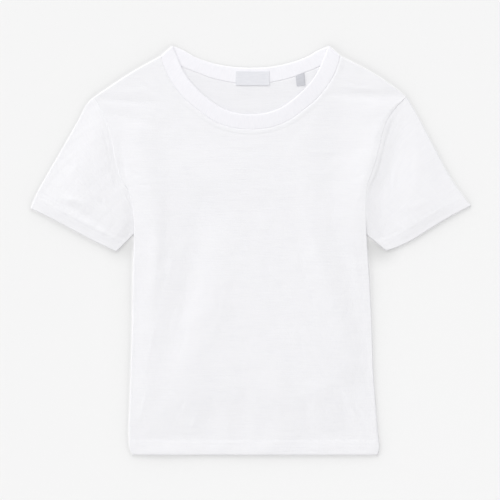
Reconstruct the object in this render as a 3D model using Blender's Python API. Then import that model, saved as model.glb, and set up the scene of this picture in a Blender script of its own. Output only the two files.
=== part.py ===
"""A round-neck, short-sleeved t-shirt laid flat, face up, on the plane z = 0.

+X is the right of the shirt as it is seen from above, +Y points to the neck and +Z is up.
The shirt is drafted in millimetres, and each mesh is written in metres. Every piece is a
closed wall of cloth: a front and a back that lie on each other, two sleeves that are
flattened tubes, a neckband that is a flattened ring, a neck label and a size tab.
"""

from collections import namedtuple

import bpy
import numpy as np

MM = 0.001

# Driving dimensions
CLOTH = 1.0            # wall of the front, the back and the sleeves
BAND_CLOTH = 1.6       # wall of the neckband, which is two layers
LABEL_CLOTH = 1.0      # wall of the two labels
SEAM_GAP = 0.3         # between pieces that are sewn together
HALF_LENGTH = 300.0    # the neck's peak and the hem lie this far from the middle
TIP_Y = 224.0          # shoulder tip, where the sleeve's upper fold begins
NECK_Y = 284.2         # where the band's seam meets the shoulder
NECK_X = 131.1
HEM_DEPTH = 22.0       # turned-up hem of the body
CUFF_DEPTH = 20.0      # turned-up hem of the sleeves
HEM_STEP = 0.4         # how much the turned-up cloth thickens a hem
ROLL = 2.2             # outer radius where the front turns down at an edge
SEAM_TILT = 25.0       # degrees that the front's edge turns down along the armhole seam
SEAM_LIP = 0.5         # straight stretch past that turn
FRONT_TOP = 3.0        # upper face of the front where it lies flat
FRONT_LEAST = 2.35     # lowest that its upper face sinks in a fold
SLEEVE_EDGE = 2.4      # height of a sleeve at its folds and at the armhole
SLEEVE_CROWN = 1.7     # how much higher the middle of a sleeve stands
BAND_TOP_SIDE = 3.8    # upper face of the band at the shoulder
BAND_TOP_FRONT = 3.3   # and at the middle of the front

# How one form of the laid cloth passes into the next, as distances in plan
EDGE_FADE = 10.0       # the front's height beside a turned edge fades out over this
HEM_FADE = 8.0         # a hem's extra thickness starts this far inside a turned edge
STEP_BACK = 1.5        # a hem's step starts this far before its depth is reached
STEP_LENGTH = 2.5      # and is this long
FOLD_KNEE = 0.5        # a trough flattens out this far above the front's lowest height
REST_FLAT = 5.0        # the front rests on the hidden armhole this far to each side of it
REST_FADE = 25.0       # and comes down from it over this
COVER_MARGIN = 4.0     # a sleeve stays low up to this far outside the front's edge
COVER_FADE = 10.0      # its folds set in over this
CROWN_FADE = 40.0      # and its crown over this
FOLD_FADE = 12.0       # a sleeve's height eases in over this from its own two folds
LIP_LEAST = 0.1        # shortest straight stretch past a turn
BAND_ROUND = 0.8       # the band's edge at the opening is rounded over this
TUCK_TOP = 104.0       # the front covers the armhole's seam up to here
TIP_DRAW_START = 204.0    # from here up the back draws in under the turned shoulder
TIP_DRAW_LENGTH = 12.0
HEM_DRAW_LENGTH = 40.0    # and it draws in a little more this far up from the hem
BACK_TIP_RISE = 0.8    # the back's shoulder starts this far above the tip
FRONT_TIP_RISE = 3.0   # and the front's first row of the shoulder this far
CROSSING_TOP = 40.0    # the underarm fold comes out of the body's side below this
CROSSING_STEP = 0.05

# Places on both sides of the shirt, from the hem up
Pair = namedtuple("Pair", "place left_x left_y right_x right_y")
BODY_EDGE = [
    Pair("hem corner", -173.5, -HALF_LENGTH, 186.0, -HALF_LENGTH),
    Pair("hem, rounded", -177.0, -292.0, 188.0, -293.0),
    Pair("hem stitching", -178.6, -275.0, 187.0, -272.0),
    Pair("low hip", -177.6, -233.0, 183.8, -233.0),
    Pair("hip", -175.9, -186.0, 180.0, -186.0),
    Pair("waist", -173.5, -117.0, 177.6, -117.0),
    Pair("high waist", -172.5, -47.0, 174.1, -47.0),
    Pair("below the sleeve", -171.3, 5.0, 170.8, 5.0),
    Pair("over the sleeve", -171.4, 40.0, 168.9, 40.0),
    Pair("tuck", -174.6, 73.0, 168.8, 73.0),
    Pair("end of the tuck", -181.0, 91.0, 170.2, 96.0),
]
ARMHOLE_SEAM = [
    Pair("underarm", -149.8, 42.5, 145.4, 42.5),
    Pair("under the front", -168.5, 62.0, 160.5, 66.0),
    Pair("hidden seam", -182.5, 84.0, 170.6, 92.0),
    Pair("where it shows", -190.6, 104.0, 177.2, 113.0),
    Pair("lower seam", -195.6, 121.0, 183.2, 131.0),
    Pair("middle seam", -200.3, 141.0, 188.2, 150.0),
    Pair("upper seam", -204.4, 162.0, 193.0, 170.0),
    Pair("seam by the shoulder", -210.4, 184.0, 200.0, 190.0),
    Pair("seam at the shoulder", -219.6, 205.0, 211.8, 207.5),
    Pair("tip", -229.4, TIP_Y, 228.2, TIP_Y),
]
SHOULDER = [
    Pair("tip", -229.4, TIP_Y, 228.2, TIP_Y),
    Pair("outer shoulder", -208.0, 238.4, 206.5, 241.0),
    Pair("shoulder", -169.0, 263.4, 172.0, 263.0),
    Pair("neck", -NECK_X, NECK_Y, NECK_X, NECK_Y),
]
SLEEVE_FOLD = [
    Pair("tip", -229.4, TIP_Y, 228.2, TIP_Y),
    Pair("below the tip", -237.0, 217.0, 233.5, 215.0),
    Pair("upper", -251.8, 190.5, 247.6, 190.5),
    Pair("middle", -268.6, 161.0, 263.0, 161.0),
    Pair("lower middle", -285.4, 131.8, 278.4, 131.8),
    Pair("lower", -302.2, 102.6, 294.6, 102.6),
    Pair("by the cuff", -316.6, 75.6, 312.8, 77.0),
    Pair("cuff corner", -322.0, 60.8, 322.0, 64.8),
]
CUFF = [
    Pair("inner corner", -196.7, -2.2, 198.3, -0.9),
    Pair("inner quarter", -206.4, 2.3, 207.0, 1.6),
    Pair("inner middle", -235.5, 16.2, 233.5, 13.4),
    Pair("outer middle", -265.0, 32.0, 262.6, 31.4),
    Pair("outer quarter", -294.5, 47.6, 293.0, 49.6),
    Pair("outer corner", -322.0, 60.8, 322.0, 64.8),
]
UNDERARM_FOLD = [
    Pair("underarm", -149.8, 42.5, 145.4, 42.5),
    Pair("comes out", -173.0, 21.3, 171.0, 21.6),
    Pair("cuff corner", -196.7, -2.2, 198.3, -0.9),
]

# How the front's edge turns down, from the hem up. height is the upper face beside the turn,
# foot is how low the turned edge reaches, and turn is 1 for a full turn and 0 for a seam's.
Turn = namedtuple("Turn", "place y height foot turn")
EDGE_TURN = [
    Turn("hem", -300.0, 2.7, 0.0, 1.0),
    Turn("side", -215.0, 3.2, 0.0, 1.0),
    Turn("waist", -60.0, 3.3, 0.0, 1.0),
    Turn("below the sleeve", 0.0, 3.8, 0.0, 1.0),
    Turn("over the sleeve", 17.0, 5.0, 2.75, 1.0),
    Turn("tuck", 70.0, 5.4, 2.75, 1.0),
    Turn("end of the tuck", 108.0, 5.2, 2.75, 1.0),
    Turn("lower seam", 130.0, 4.1, 2.75, 0.0),
    Turn("upper seam", 209.0, 4.1, 2.75, 0.0),
    Turn("tip", 223.0, 3.7, 0.0, 1.0),
    Turn("neck", 284.2, 3.7, 0.0, 1.0),
]

# Curves of the neck, as half widths from the middle out to the shoulder
Neck = namedtuple("Neck", "half_width y")
FRONT_SEAM = [
    Neck(0.0, 176.5), Neck(16.0, 177.3), Neck(32.2, 180.2), Neck(57.1, 190.5),
    Neck(75.8, 203.9), Neck(96.7, 221.4), Neck(108.9, 235.9), Neck(117.0, 247.4),
    Neck(123.4, 259.8), Neck(127.9, 271.8), Neck(NECK_X, NECK_Y),
]
FRONT_OPENING = [
    Neck(0.0, 198.2), Neck(15.0, 199.2), Neck(30.0, 202.3), Neck(44.0, 208.0),
    Neck(58.6, 217.8), Neck(73.2, 230.2), Neck(83.6, 240.6), Neck(91.6, 250.5),
    Neck(98.6, 261.6), Neck(103.4, 272.0), Neck(107.8, 283.0), Neck(111.6, 292.4),
    Neck(114.6, 299.0),
]
BACK_SEAM = [
    Neck(0.0, 243.2), Neck(29.3, 245.6), Neck(45.0, 248.6), Neck(62.5, 253.4),
    Neck(75.5, 258.6), Neck(89.0, 263.6), Neck(104.0, 270.4), Neck(118.0, 277.4),
    Neck(NECK_X, NECK_Y),
]
BACK_OPENING = [
    Neck(0.0, 266.6), Neck(29.3, 268.0), Neck(53.5, 272.6), Neck(72.9, 278.6),
    Neck(85.7, 284.2), Neck(95.5, 290.2), Neck(106.5, 295.4), Neck(114.6, 299.0),
]

# Soft folds: a ridge or, with a negative rise, a trough along a bent line of three points
Fold = namedtuple("Fold", "place x0 y0 x1 y1 x2 y2 width rise_start rise_end")
FRONT_FOLDS = [
    Fold("left armhole ridge, upper", -214, 204, -196, 172, -187, 138, 12, 0.5, 2.3),
    Fold("left armhole ridge, lower", -186, 130, -178, 100, -168, 56, 13, 2.1, 1.9),
    Fold("left side ridge", -165, 30, -158, -20, -157, -78, 9, 1.1, 0.5),
    Fold("left shoulder trough", -208, 226, -170, 221, -135, 212, 8, -0.4, -0.5),
    Fold("left chest trough", -142, 92, -122, 58, -128, -6, 15, -0.6, -0.9),
    Fold("left waist trough", -132, -30, -143, -110, -162, -215, 14, -0.9, -0.5),
    Fold("left waist ridge", -82, 6, -74, -40, -54, -118, 18, 0.3, 0.8),
    Fold("middle swell", -22, 118, 6, 40, -8, -70, 34, 0.7, 0.3),
    Fold("middle trough", -24, -70, -2, -130, -30, -196, 20, -0.2, -0.6),
    Fold("right armhole ridge, upper", 220, 219, 192, 206, 177, 166, 11, 0.9, 2.3),
    Fold("right armhole ridge, lower", 176, 160, 166, 118, 160, 44, 12, 2.2, 1.8),
    Fold("right side ridge", 160, 26, 161, -30, 164, -86, 9, 1.0, 0.4),
    Fold("right shoulder crease", 112, 230, 164, 228, 214, 224, 6, -0.5, -1.2),
    Fold("right shoulder ridge", 150, 212, 182, 217, 212, 220, 6, 0.3, 1.0),
    Fold("right chest trough", 86, 100, 98, 48, 116, -26, 14, -0.7, -0.9),
    Fold("right chest ridge", 122, 74, 133, 16, 140, -38, 12, 0.7, 0.4),
    Fold("right waist trough", 132, -50, 158, -100, 168, -168, 13, -0.9, -0.4),
    Fold("right waist ridge", 72, -70, 92, -130, 128, -196, 18, 0.5, 0.6),
    Fold("hem pucker, left", -128, -228, -130, -246, -126, -268, 12, -0.3, -0.6),
    Fold("hem pucker, left middle", -62, -244, -58, -258, -60, -272, 13, -0.3, -0.6),
    Fold("hem swell, middle", 6, -228, 4, -250, 8, -270, 16, 0.2, 0.5),
    Fold("hem pucker, right middle", 68, -240, 72, -256, 70, -270, 13, -0.3, -0.5),
    Fold("hem crease, right", 140, -224, 152, -246, 168, -272, 7, 0.5, 0.8),
    Fold("hem pucker, right", 126, -238, 134, -256, 144, -272, 8, -0.4, -0.5),
]
SLEEVE_FOLDS = {"left": [
    Fold("outer crease ridge", -284, 78, -264, 73, -240, 68, 6, 0.4, 0.8),
    Fold("crease trough", -282, 66, -262, 58, -238, 52, 6, -0.4, -0.6),
    Fold("inner crease ridge", -262, 50, -240, 39, -216, 27, 6, 0.5, 0.7),
    Fold("long swell", -244, 184, -246, 140, -262, 96, 15, 0.4, 0.8),
], "right": [
    Fold("long swell", 240, 184, 250, 140, 272, 92, 16, 0.5, 0.8),
    Fold("trough beside the body", 214, 170, 208, 120, 206, 50, 11, -0.3, -0.6),
    Fold("crease by the cuff", 226, 60, 246, 66, 268, 78, 7, 0.6, 0.3),
]}

# Sizes of the labels
LABEL_HALF_WIDTH = 24.5
LABEL_X = 2.9
LABEL_TOP = 261.6
LABEL_BOTTOM = 241.2
TAB_LEFT = 66.0
TAB_RIGHT = 78.4
TAB_BOTTOM_LEFT = (67.4, 240.4)
TAB_BOTTOM_RIGHT = (79.4, 241.6)

# Fineness of the meshes
Span = namedtuple("Span", "low high rows")
SIDE_SPANS = [  # rows of both panels from the hem to where the sleeve comes out
    Span(-HALF_LENGTH, -278.5, 2), Span(-278.5, -276.0, 1), Span(-276.0, -20.0, 11),
    Span(-20.0, 20.0, 5),
]
TUCK_SPANS = [Span(20.0, TUCK_TOP, 6)]
SHOULDER_SPANS = [Span(TIP_Y + FRONT_TIP_RISE, NECK_Y, 5)]
TURN_STEPS = 3
SLEEVE_ROWS = 8
SLEEVE_COLUMNS = 12
SHOWN_STATIONS = 7     # stations of the armhole seam, from the tip down, that show
FOLD_STEPS = 4
FRONT_STEPS = 28       # across the front, and along the front of the band
BACK_STEPS = 18
BAND_TURN_STEPS = 6
SLEEVE_SHARES = 40     # points of a sleeve's plan curves
SIDE_CROWDING = 0.35   # how much the steps across crowd towards the sides
NORMAL_REACH = 7       # the shoulder's direction at the neck is read over this many points


# ---------------------------------------------------------------- curves

def side_of(table, side):
    """The points of one side of a table of pairs, as an array of x and y."""
    return np.array([[getattr(row, side + "_x"), getattr(row, side + "_y")] for row in table])


def between(a, b, share):
    return a + (b - a) * share


def ease(value):
    """0 to 1 with a level start and end."""
    value = np.clip(value, 0.0, 1.0)
    return value * value * (3 - 2 * value)


def smooth_path(points, per_span=12):
    """A smooth curve through the points, as a dense polyline."""
    points = np.asarray(points, float)
    chord = np.diff(points, axis=0)
    size = np.linalg.norm(chord, axis=1, keepdims=True)
    speed = chord / size
    bend = (speed[:-1] * size[1:] + speed[1:] * size[:-1]) / (size[:-1] + size[1:])
    bend = np.vstack([speed[:1], bend, speed[-1:]])
    t = np.arange(1, per_span + 1)[:, None] / per_span
    path = [points[:1]]
    for a, b, m, n, h in zip(points[:-1], points[1:], bend[:-1], bend[1:], size):
        path.append(a * (1 + 2 * t) * (1 - t) ** 2 + b * t * t * (3 - 2 * t)
                    + h * (m * t * (1 - t) ** 2 - n * t * t * (1 - t)))
    return np.vstack(path)


def lengths_along(path):
    return np.concatenate([[0.0], np.cumsum(np.linalg.norm(np.diff(path, axis=0), axis=1))])


def along(path, distances):
    """Points of the polyline at these distances from its start."""
    total = lengths_along(path)
    return np.stack([np.interp(distances, total, column) for column in path.T], 1)


def spaced(path, shares):
    return along(path, shares * lengths_along(path)[-1])


def at_levels(path, levels):
    """Points at these heights on the sheet of a path that climbs in y."""
    return np.stack([np.interp(levels, path[:, 1], path[:, 0]), levels], 1)


def levels_of(spans, last=None):
    levels = [np.linspace(span.low, span.high, span.rows, endpoint=False) for span in spans]
    return np.concatenate(levels if last is None else levels + [[last]])


def normals_of(path, outward):
    """Unit normals of a climbing path, to the right for 1 and to the left for -1."""
    tangent = np.gradient(path, axis=0)
    tangent /= np.linalg.norm(tangent, axis=1, keepdims=True)
    return np.stack([tangent[:, 1], -tangent[:, 0]], 1) * outward


def moved(path, outward, distance):
    """The path moved sideways, by one distance or by one for each of its points."""
    return path + normals_of(path, outward) * np.reshape(distance, (-1, 1))


def whole_neck(rows):
    """A neck curve from the left shoulder to the right one."""
    half = np.array(rows)
    return smooth_path(np.vstack([half[:0:-1] * [-1, 1], half]))


def with_ends(path, first, last, near=3.0):
    """The path with its ends drawn to two points, and what lies near them left out."""
    keep = np.minimum(np.linalg.norm(path - first, axis=1), np.linalg.norm(path - last, axis=1))
    return np.vstack([first, path[keep > near], last])


def coons(bottom, top, left, right, across, up):
    """A sheet between four edges, as rows that run from left to right."""
    u, v = across[None, :, None], up[:, None, None]
    ruled = between(bottom[None], top[None], v) + between(left[:, None], right[:, None], u)
    corners = between(between(bottom[0], bottom[-1], u), between(top[0], top[-1], u), v)
    return ruled - corners


def distance_to(path, x, y):
    """Distance of each point from a polyline, and the share of its length up to there."""
    start, step = path[:-1], np.diff(path, axis=0)
    offset = np.stack([x, y], -1)[..., None, :] - start
    share = np.clip((offset * step).sum(-1) / (step ** 2).sum(1), 0, 1)
    gap = np.linalg.norm(offset - share[..., None] * step, axis=-1)
    nearest = gap.argmin(-1)[..., None]
    share = np.take_along_axis(share, nearest, -1)[..., 0]
    return gap.min(-1), (nearest[..., 0] + share) / len(step)


def fold_heights(folds, x, y):
    """The sum of the soft ridges and troughs at each point."""
    height = np.zeros_like(x)
    for fold in folds:
        line = smooth_path([(fold.x0, fold.y0), (fold.x1, fold.y1), (fold.x2, fold.y2)], 5)
        gap, share = distance_to(line, x, y)
        rise = between(fold.rise_start, fold.rise_end, share)
        height += rise * np.exp(-(gap / fold.width) ** 2)
    return height


# ---------------------------------------------------------------- meshes

def facing_out(points, faces):
    """The faces, turned round if they enclose a negative volume."""
    corners = [[face[0], face[k], face[k + 1]] for face in faces for k in range(1, len(face) - 1)]
    volume = np.linalg.det(points[np.array(corners)]).sum()
    return faces if volume > 0 else [face[::-1] for face in faces]


def new_piece(name, points, faces, colour, roughness):
    """An object in metres with its own material."""
    points = np.array(points, float).reshape(-1, 3)
    mesh = bpy.data.meshes.new(name)
    mesh.from_pydata((points * MM).tolist(), [], facing_out(points, faces))
    mesh.update()
    mesh.shade_smooth()
    mesh.set_sharp_from_angle(angle=np.radians(50))
    piece = bpy.data.objects.new(name, mesh)
    bpy.context.scene.collection.objects.link(piece)
    material = bpy.data.materials.new(name)
    material.use_nodes = True
    shader = material.node_tree.nodes["Principled BSDF"]
    shader.inputs["Base Color"].default_value = (*colour, 1.0)
    shader.inputs["Roughness"].default_value = roughness
    shader.inputs["Metallic"].default_value = 0.0
    mesh.materials.append(material)
    return piece


def sheet_faces(rows, columns):
    """Faces of a wall whose upper and lower points are two grids, one after the other."""
    size = rows * columns
    upper = np.arange(size).reshape(rows, columns)
    faces = []
    for i in range(rows - 1):
        for j in range(columns - 1):
            cell = [upper[i, j], upper[i, j + 1], upper[i + 1, j + 1], upper[i + 1, j]]
            faces += [cell, [corner + size for corner in reversed(cell)]]
    rim = np.concatenate([upper[0, :-1], upper[:-1, -1], upper[-1, :0:-1], upper[:0:-1, 0]])
    faces += [[b, a, a + size, b + size] for a, b in zip(rim, np.roll(rim, -1))]
    return [[int(corner) for corner in face] for face in faces]


def tube_faces(rings, around):
    """Faces of an open tube's wall, from its outer rings and then as many inner ones."""
    outer = np.arange(rings * around).reshape(rings, around)
    size = rings * around
    faces = []
    for j in range(around):
        k = (j + 1) % around
        for i in range(rings - 1):
            cell = [outer[i, j], outer[i, k], outer[i + 1, k], outer[i + 1, j]]
            faces += [cell, [corner + size for corner in reversed(cell)]]
        faces.append([outer[0, k], outer[0, j], outer[0, j] + size, outer[0, k] + size])
        faces.append([outer[-1, j], outer[-1, k], outer[-1, k] + size, outer[-1, j] + size])
    return [[int(corner) for corner in face] for face in faces]


def loop_faces(sections, around):
    """Faces of a ring with no ends, whose closed sections follow each other."""
    index = np.arange(sections * around).reshape(sections, around)
    faces = []
    for i in range(sections):
        for j in range(around):
            k, n = (j + 1) % around, (i + 1) % sections
            faces.append([int(c) for c in (index[i, j], index[i, k], index[n, k], index[n, j])])
    return faces


# ---------------------------------------------------------------- outlines

def outward_of(side):
    return -1.0 if side == "left" else 1.0


def seam_stations(side):
    """Corners of the armhole seam's line, from the underarm to the tip."""
    return ring_stations(smooth_path(side_of(ARMHOLE_SEAM, side)), SLEEVE_EDGE / 2)


def ring_stations(row, radius):
    """Places across a flattened tube: both outer edges, and between them its flat stretch."""
    length = lengths_along(row)[-1]
    shares = np.linspace(0, 1, SLEEVE_COLUMNS)
    flat = along(row, radius + (length - 2 * radius) * shares)
    return np.vstack([row[:1], flat, row[-1:]])


def with_middles(path):
    """The path with a point added in the middle of each of its stretches."""
    middles = between(path[:-1], path[1:], 0.5)
    return np.vstack([np.stack([path[:-1], middles], 1).reshape(-1, 2), path[-1:]])


def shoulder_path(side, inset=0.0):
    """The shoulder's edge from the tip to the neck, or a line inside it."""
    path = smooth_path(side_of(SHOULDER, side))
    return moved(path, outward_of(side), -inset)


def flank_path(side):
    """The body's edge that shows, from the hem up to where the armhole seam shows."""
    shown = seam_stations(side)[-SHOWN_STATIONS:-SHOWN_STATIONS + 3]
    shown = moved(shown, outward_of(side), -SEAM_GAP)
    return smooth_path(np.vstack([side_of(BODY_EDGE, side), shown]))


def front_outline(side):
    """The front's outline as stations from the hem to the neck."""
    shown = moved(seam_stations(side), outward_of(side), -SEAM_GAP)[-SHOWN_STATIONS:]
    spans = SIDE_SPANS + TUCK_SPANS + [Span(TUCK_TOP, shown[0, 1], 2)]
    flank = at_levels(flank_path(side), levels_of(spans))
    shoulder = at_levels(shoulder_path(side), levels_of(SHOULDER_SPANS, NECK_Y - SEAM_GAP))
    return np.vstack([flank, with_middles(shown), shoulder])


def back_outline(side):
    """The back's outline: inside the front's turned side, round the sleeve, under the shoulder."""
    out, inset = outward_of(side), CLOTH + SEAM_GAP
    flank = flank_path(side)
    draw = SEAM_GAP * (1 - ease((flank[:, 1] + HALF_LENGTH) / HEM_DRAW_LENGTH))
    flank = moved(flank, out, -inset - draw)
    under = moved(np.array([row[0] for row in sleeve_rows(side)])[::-1], out, -SEAM_GAP)
    crossing = at_levels(flank, np.arange(0.0, CROSSING_TOP, CROSSING_STEP))
    gap, _ = distance_to(under, crossing[:, 0], crossing[:, 1])
    meet = crossing[gap.argmin()]
    under = under[under[:, 1] > meet[1] + CLOTH / 2]
    low = at_levels(flank, levels_of(SIDE_SPANS))
    seam = seam_stations(side)
    extra = inset * ease((seam[:, 1] - TIP_DRAW_START) / TIP_DRAW_LENGTH)
    seam = moved(seam, out, -SEAM_GAP - extra)
    corner = under[-1] + seam[0] - seam_stations(side)[0]
    shoulder = shoulder_path(side, inset)
    top = shoulder[-1, 1] - 2 * SEAM_GAP
    levels = levels_of([Span(TIP_Y + BACK_TIP_RISE, top, 5)], top)
    return np.vstack([low[low[:, 1] < meet[1] - CLOTH], meet, under[:-1], corner, seam[1:-2],
                      at_levels(shoulder, levels)])


def turn_at(levels, column):
    """A column of the table of turns at these heights on the sheet, eased between its rows."""
    ys = np.array([row.y for row in EDGE_TURN])
    values = np.array([getattr(row, column) for row in EDGE_TURN])
    place = np.clip(np.searchsorted(ys, levels, side="right") - 1, 0, len(ys) - 2)
    share = ease((levels - ys[place]) / (ys[place + 1] - ys[place]))
    return between(values[place], values[place + 1], share)


def hem_step(distance, depth):
    """How much thicker a turned-up hem is at this distance from its edge."""
    return HEM_STEP * (1 - ease((distance - depth + STEP_BACK) / STEP_LENGTH))


def front_height(x, y):
    """Upper face of the front away from its turned edges, without its hem."""
    height = FRONT_TOP + fold_heights(FRONT_FOLDS, x, y)
    knee = FRONT_LEAST + FOLD_KNEE
    sunk = knee - FOLD_KNEE * (1 - np.exp(np.minimum(height - knee, 0.0) / FOLD_KNEE))
    height = np.where(height > knee, height, sunk)
    for side in ("left", "right"):
        hidden = seam_stations(side)[:-SHOWN_STATIONS]
        gap, _ = distance_to(hidden, x, y)
        rest = SLEEVE_EDGE + CLOTH + 2 * SEAM_GAP
        held = between(rest, FRONT_LEAST, ease((gap - REST_FLAT) / REST_FADE))
        height = np.maximum(height, held)
    return height


def sleeve_height(x, y, side):
    """Upper face of a sleeve, which stays low where the front covers it."""
    outline = front_outline(side)
    gap, _ = distance_to(outline, x, y)
    edge = np.interp(y, outline[:, 1], outline[:, 0])
    clear = np.where((x - edge) * outward_of(side) > 0, gap, 0.0)
    clear = clear - COVER_MARGIN
    folds = fold_heights(SLEEVE_FOLDS[side], x, y) * ease(clear / COVER_FADE)
    return SLEEVE_EDGE + SLEEVE_CROWN * ease(clear / CROWN_FADE) + folds


# ---------------------------------------------------------------- pieces

def turned_edge(outline, normal, height, foot, turn):
    """Where the turned edge starts, and the columns of points on its upper and lower faces."""
    tilt = np.radians(between(SEAM_TILT, 90.0, turn))
    straight = np.maximum(between(SEAM_LIP, height - ROLL - foot, turn), LIP_LEAST)
    start = outline - normal * (ROLL * np.sin(tilt) + straight * np.cos(tilt))[:, None]
    faces = []
    for radius in (ROLL, ROLL - CLOTH):
        columns = []
        for step in range(1, TURN_STEPS + 1):
            angle = tilt * step / TURN_STEPS
            place = start + normal * (radius * np.sin(angle))[:, None]
            columns.append(np.column_stack([place, height - ROLL + radius * np.cos(angle)]))
        slide = np.column_stack([normal * (straight * np.cos(tilt))[:, None],
                                 -straight * np.sin(tilt)])
        faces.append(columns + [columns[-1] + slide])
    return start, faces[0], faces[1]


def steps_across(count):
    """Shares across the shirt, a little closer together towards its sides."""
    even = np.linspace(0, 1, count + 1)
    return between(even, ease(even), SIDE_CROWDING)


def panel_plan(left, right, seam, steps):
    """The plan of a panel between its sides' stations, the hem and the neckband's seam."""
    across = steps_across(steps)
    neck = moved(seam, 1.0, SEAM_GAP)
    neck[0], neck[-1] = left[-1], right[-1]
    hem = between(left[0], right[0], across[:, None])
    climb = (left[:, 1] + right[:, 1]) / 2
    up = (climb - climb[0]) / (climb[-1] - climb[0])
    return coons(hem, neck, left, right, across, up)


def build_front():
    """The front, whose sides and shoulders turn down over the back and over the sleeves."""
    edges, heights = {}, {}
    for side in ("left", "right"):
        outline = front_outline(side)
        normal = normals_of(outline, outward_of(side))
        normal[:3] = (outward_of(side), 0.0)
        height, foot, turn = (turn_at(outline[:, 1], name) for name in ("height", "foot", "turn"))
        edges[side] = turned_edge(outline, normal, height, foot, turn)
        heights[side] = height
    left, right = edges["left"][0], edges["right"][0]
    plan = panel_plan(left, right, band_line(FRONT_SEAM, FRONT_STEPS), FRONT_STEPS)
    x, y = plan[..., 0], plan[..., 1]
    top = front_height(x, y)
    step = hem_step(y + HALF_LENGTH, HEM_DEPTH)
    for start, side, column in ((left, "left", 0), (right, "right", -1)):
        gap = np.linalg.norm(plan - start[:, None], axis=-1)
        rise = (heights[side] - top[:, column])[:, None]
        top = top + rise * np.exp(-(gap / EDGE_FADE) ** 2)
        step = step * ease(gap / HEM_FADE)
    top = np.maximum(top, FRONT_LEAST)
    grids = []
    for face, z in ((1, top + step), (2, top - CLOTH)):
        grid = np.stack([x, y, z], -1)
        columns = edges["left"][face][::-1] + list(np.swapaxes(grid, 0, 1)) + edges["right"][face]
        grids.append(np.stack(columns, 1))
    rows, columns = grids[0].shape[:2]
    return new_piece("front", grids, sheet_faces(rows, columns), (0.93, 0.93, 0.95), 0.9)


def build_back():
    """The back, flat on the ground under the front."""
    left, right = back_outline("left"), back_outline("right")
    plan = panel_plan(left, right, band_line(BACK_SEAM, BACK_STEPS), BACK_STEPS)
    grids = [np.dstack([plan, np.full(plan.shape[:2], z)]) for z in (CLOTH, 0.0)]
    return new_piece("back", grids, sheet_faces(*plan.shape[:2]), (0.91, 0.91, 0.93), 0.9)


def sleeve_rows(side):
    """Plan curves across a sleeve from its underarm fold to its upper fold, armhole to cuff."""
    seam, fold, cuff, under = (smooth_path(side_of(table, side)) for table in
                               (ARMHOLE_SEAM, SLEEVE_FOLD, CUFF, UNDERARM_FOLD))
    shares = np.linspace(0, 1, SLEEVE_SHARES)
    cuff_line = spaced(cuff, shares)
    chord = (cuff[-1] - cuff[0]) / np.linalg.norm(cuff[-1] - cuff[0])
    square = np.array([-chord[1], chord[0]]) * outward_of(side)

    def back_from_cuff(distance):
        ends = []
        for edge in (under, fold):
            way = edge[-4] - edge[-1]
            slant = (way / np.linalg.norm(way)) @ square
            ends.append(along(edge[::-1], [distance / slant])[0] - edge[-1])
        return cuff_line + between(ends[0], ends[1], shares[:, None])

    limit = back_from_cuff(CUFF_DEPTH + STEP_LENGTH - STEP_BACK)
    sides = []
    for edge, end in ((under, limit[0]), (fold, limit[-1])):
        gap = np.linalg.norm(edge - end, axis=1)
        kept = np.vstack([edge[:gap.argmin()], end])
        sides.append(spaced(kept, np.linspace(0, 1, SLEEVE_ROWS)))
    up = np.linspace(0, 1, SLEEVE_ROWS)
    rows = coons(spaced(seam, shares), limit, sides[0], sides[1], shares, up)
    return list(rows) + [back_from_cuff(d) for d in (CUFF_DEPTH - STEP_BACK, CUFF_DEPTH / 2, 0.0)]


def flattened_ring(row, height, step):
    """Outer and inner points of one ring of a sleeve: over the top, a fold, under and a fold."""
    lift = SLEEVE_EDGE + step
    outer_radius, inner_radius = lift / 2, (lift - step - 2 * CLOTH) / 2
    place = ring_stations(row, outer_radius)[1:-1]
    reach = lengths_along(place)
    near = np.minimum(reach, reach[-1] - reach)
    rise = (height(place[:, 0], place[:, 1]) - SLEEVE_EDGE) * (1 - np.exp(-(near / FOLD_FADE) ** 2))
    top = lift + rise
    rings = []
    for radius, floor, z in ((outer_radius, 0.0, top), (inner_radius, CLOTH, top - CLOTH - step)):
        upper = np.column_stack([place, z])
        lower = np.column_stack([place, np.full(len(place), floor)])
        turns = []
        for end, tip in ((-1, row[-1]), (0, row[0])):
            way = (tip - place[end]) / np.linalg.norm(tip - place[end])
            angle = np.pi * np.arange(1, FOLD_STEPS)[:, None] / FOLD_STEPS
            turns.append(np.hstack([place[end] + way * radius * np.sin(angle),
                                    floor + radius + radius * np.cos(angle)]))
        rings.append(np.vstack([upper, turns[0], lower[::-1], turns[1][::-1]]))
    return rings


def build_sleeve(side):
    """A sleeve: a flattened tube from the armhole's seam to the cuff."""
    rows = sleeve_rows(side)
    steps = [0.0] * SLEEVE_ROWS + [HEM_STEP] * 3
    rings = [flattened_ring(row, lambda x, y: sleeve_height(x, y, side), step)
             for row, step in zip(rows, steps)]
    points = np.array([ring[0] for ring in rings] + [ring[1] for ring in rings])
    faces = tube_faces(len(rings), points.shape[1])
    return new_piece("sleeve_" + side, points, faces, (0.92, 0.92, 0.94), 0.9)


def band_corner(side, rows):
    """Where a curve of the band starts to turn over the shoulder, and the way it turns."""
    path = shoulder_path(side)
    way = path[-1] - path[-1 - NORMAL_REACH]
    normal = np.array([way[1], -way[0]]) * outward_of(side) / np.linalg.norm(way)
    end = np.array(rows[-1]) * [outward_of(side), 1.0]
    return end - normal * BAND_TOP_SIDE / 2, normal


def band_line(rows, steps):
    """Stations of one of the band's curves from the left shoulder to the right one."""
    ends = [band_corner(side, rows)[0] for side in ("left", "right")]
    return spaced(with_ends(whole_neck(rows), *ends), steps_across(steps))


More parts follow.
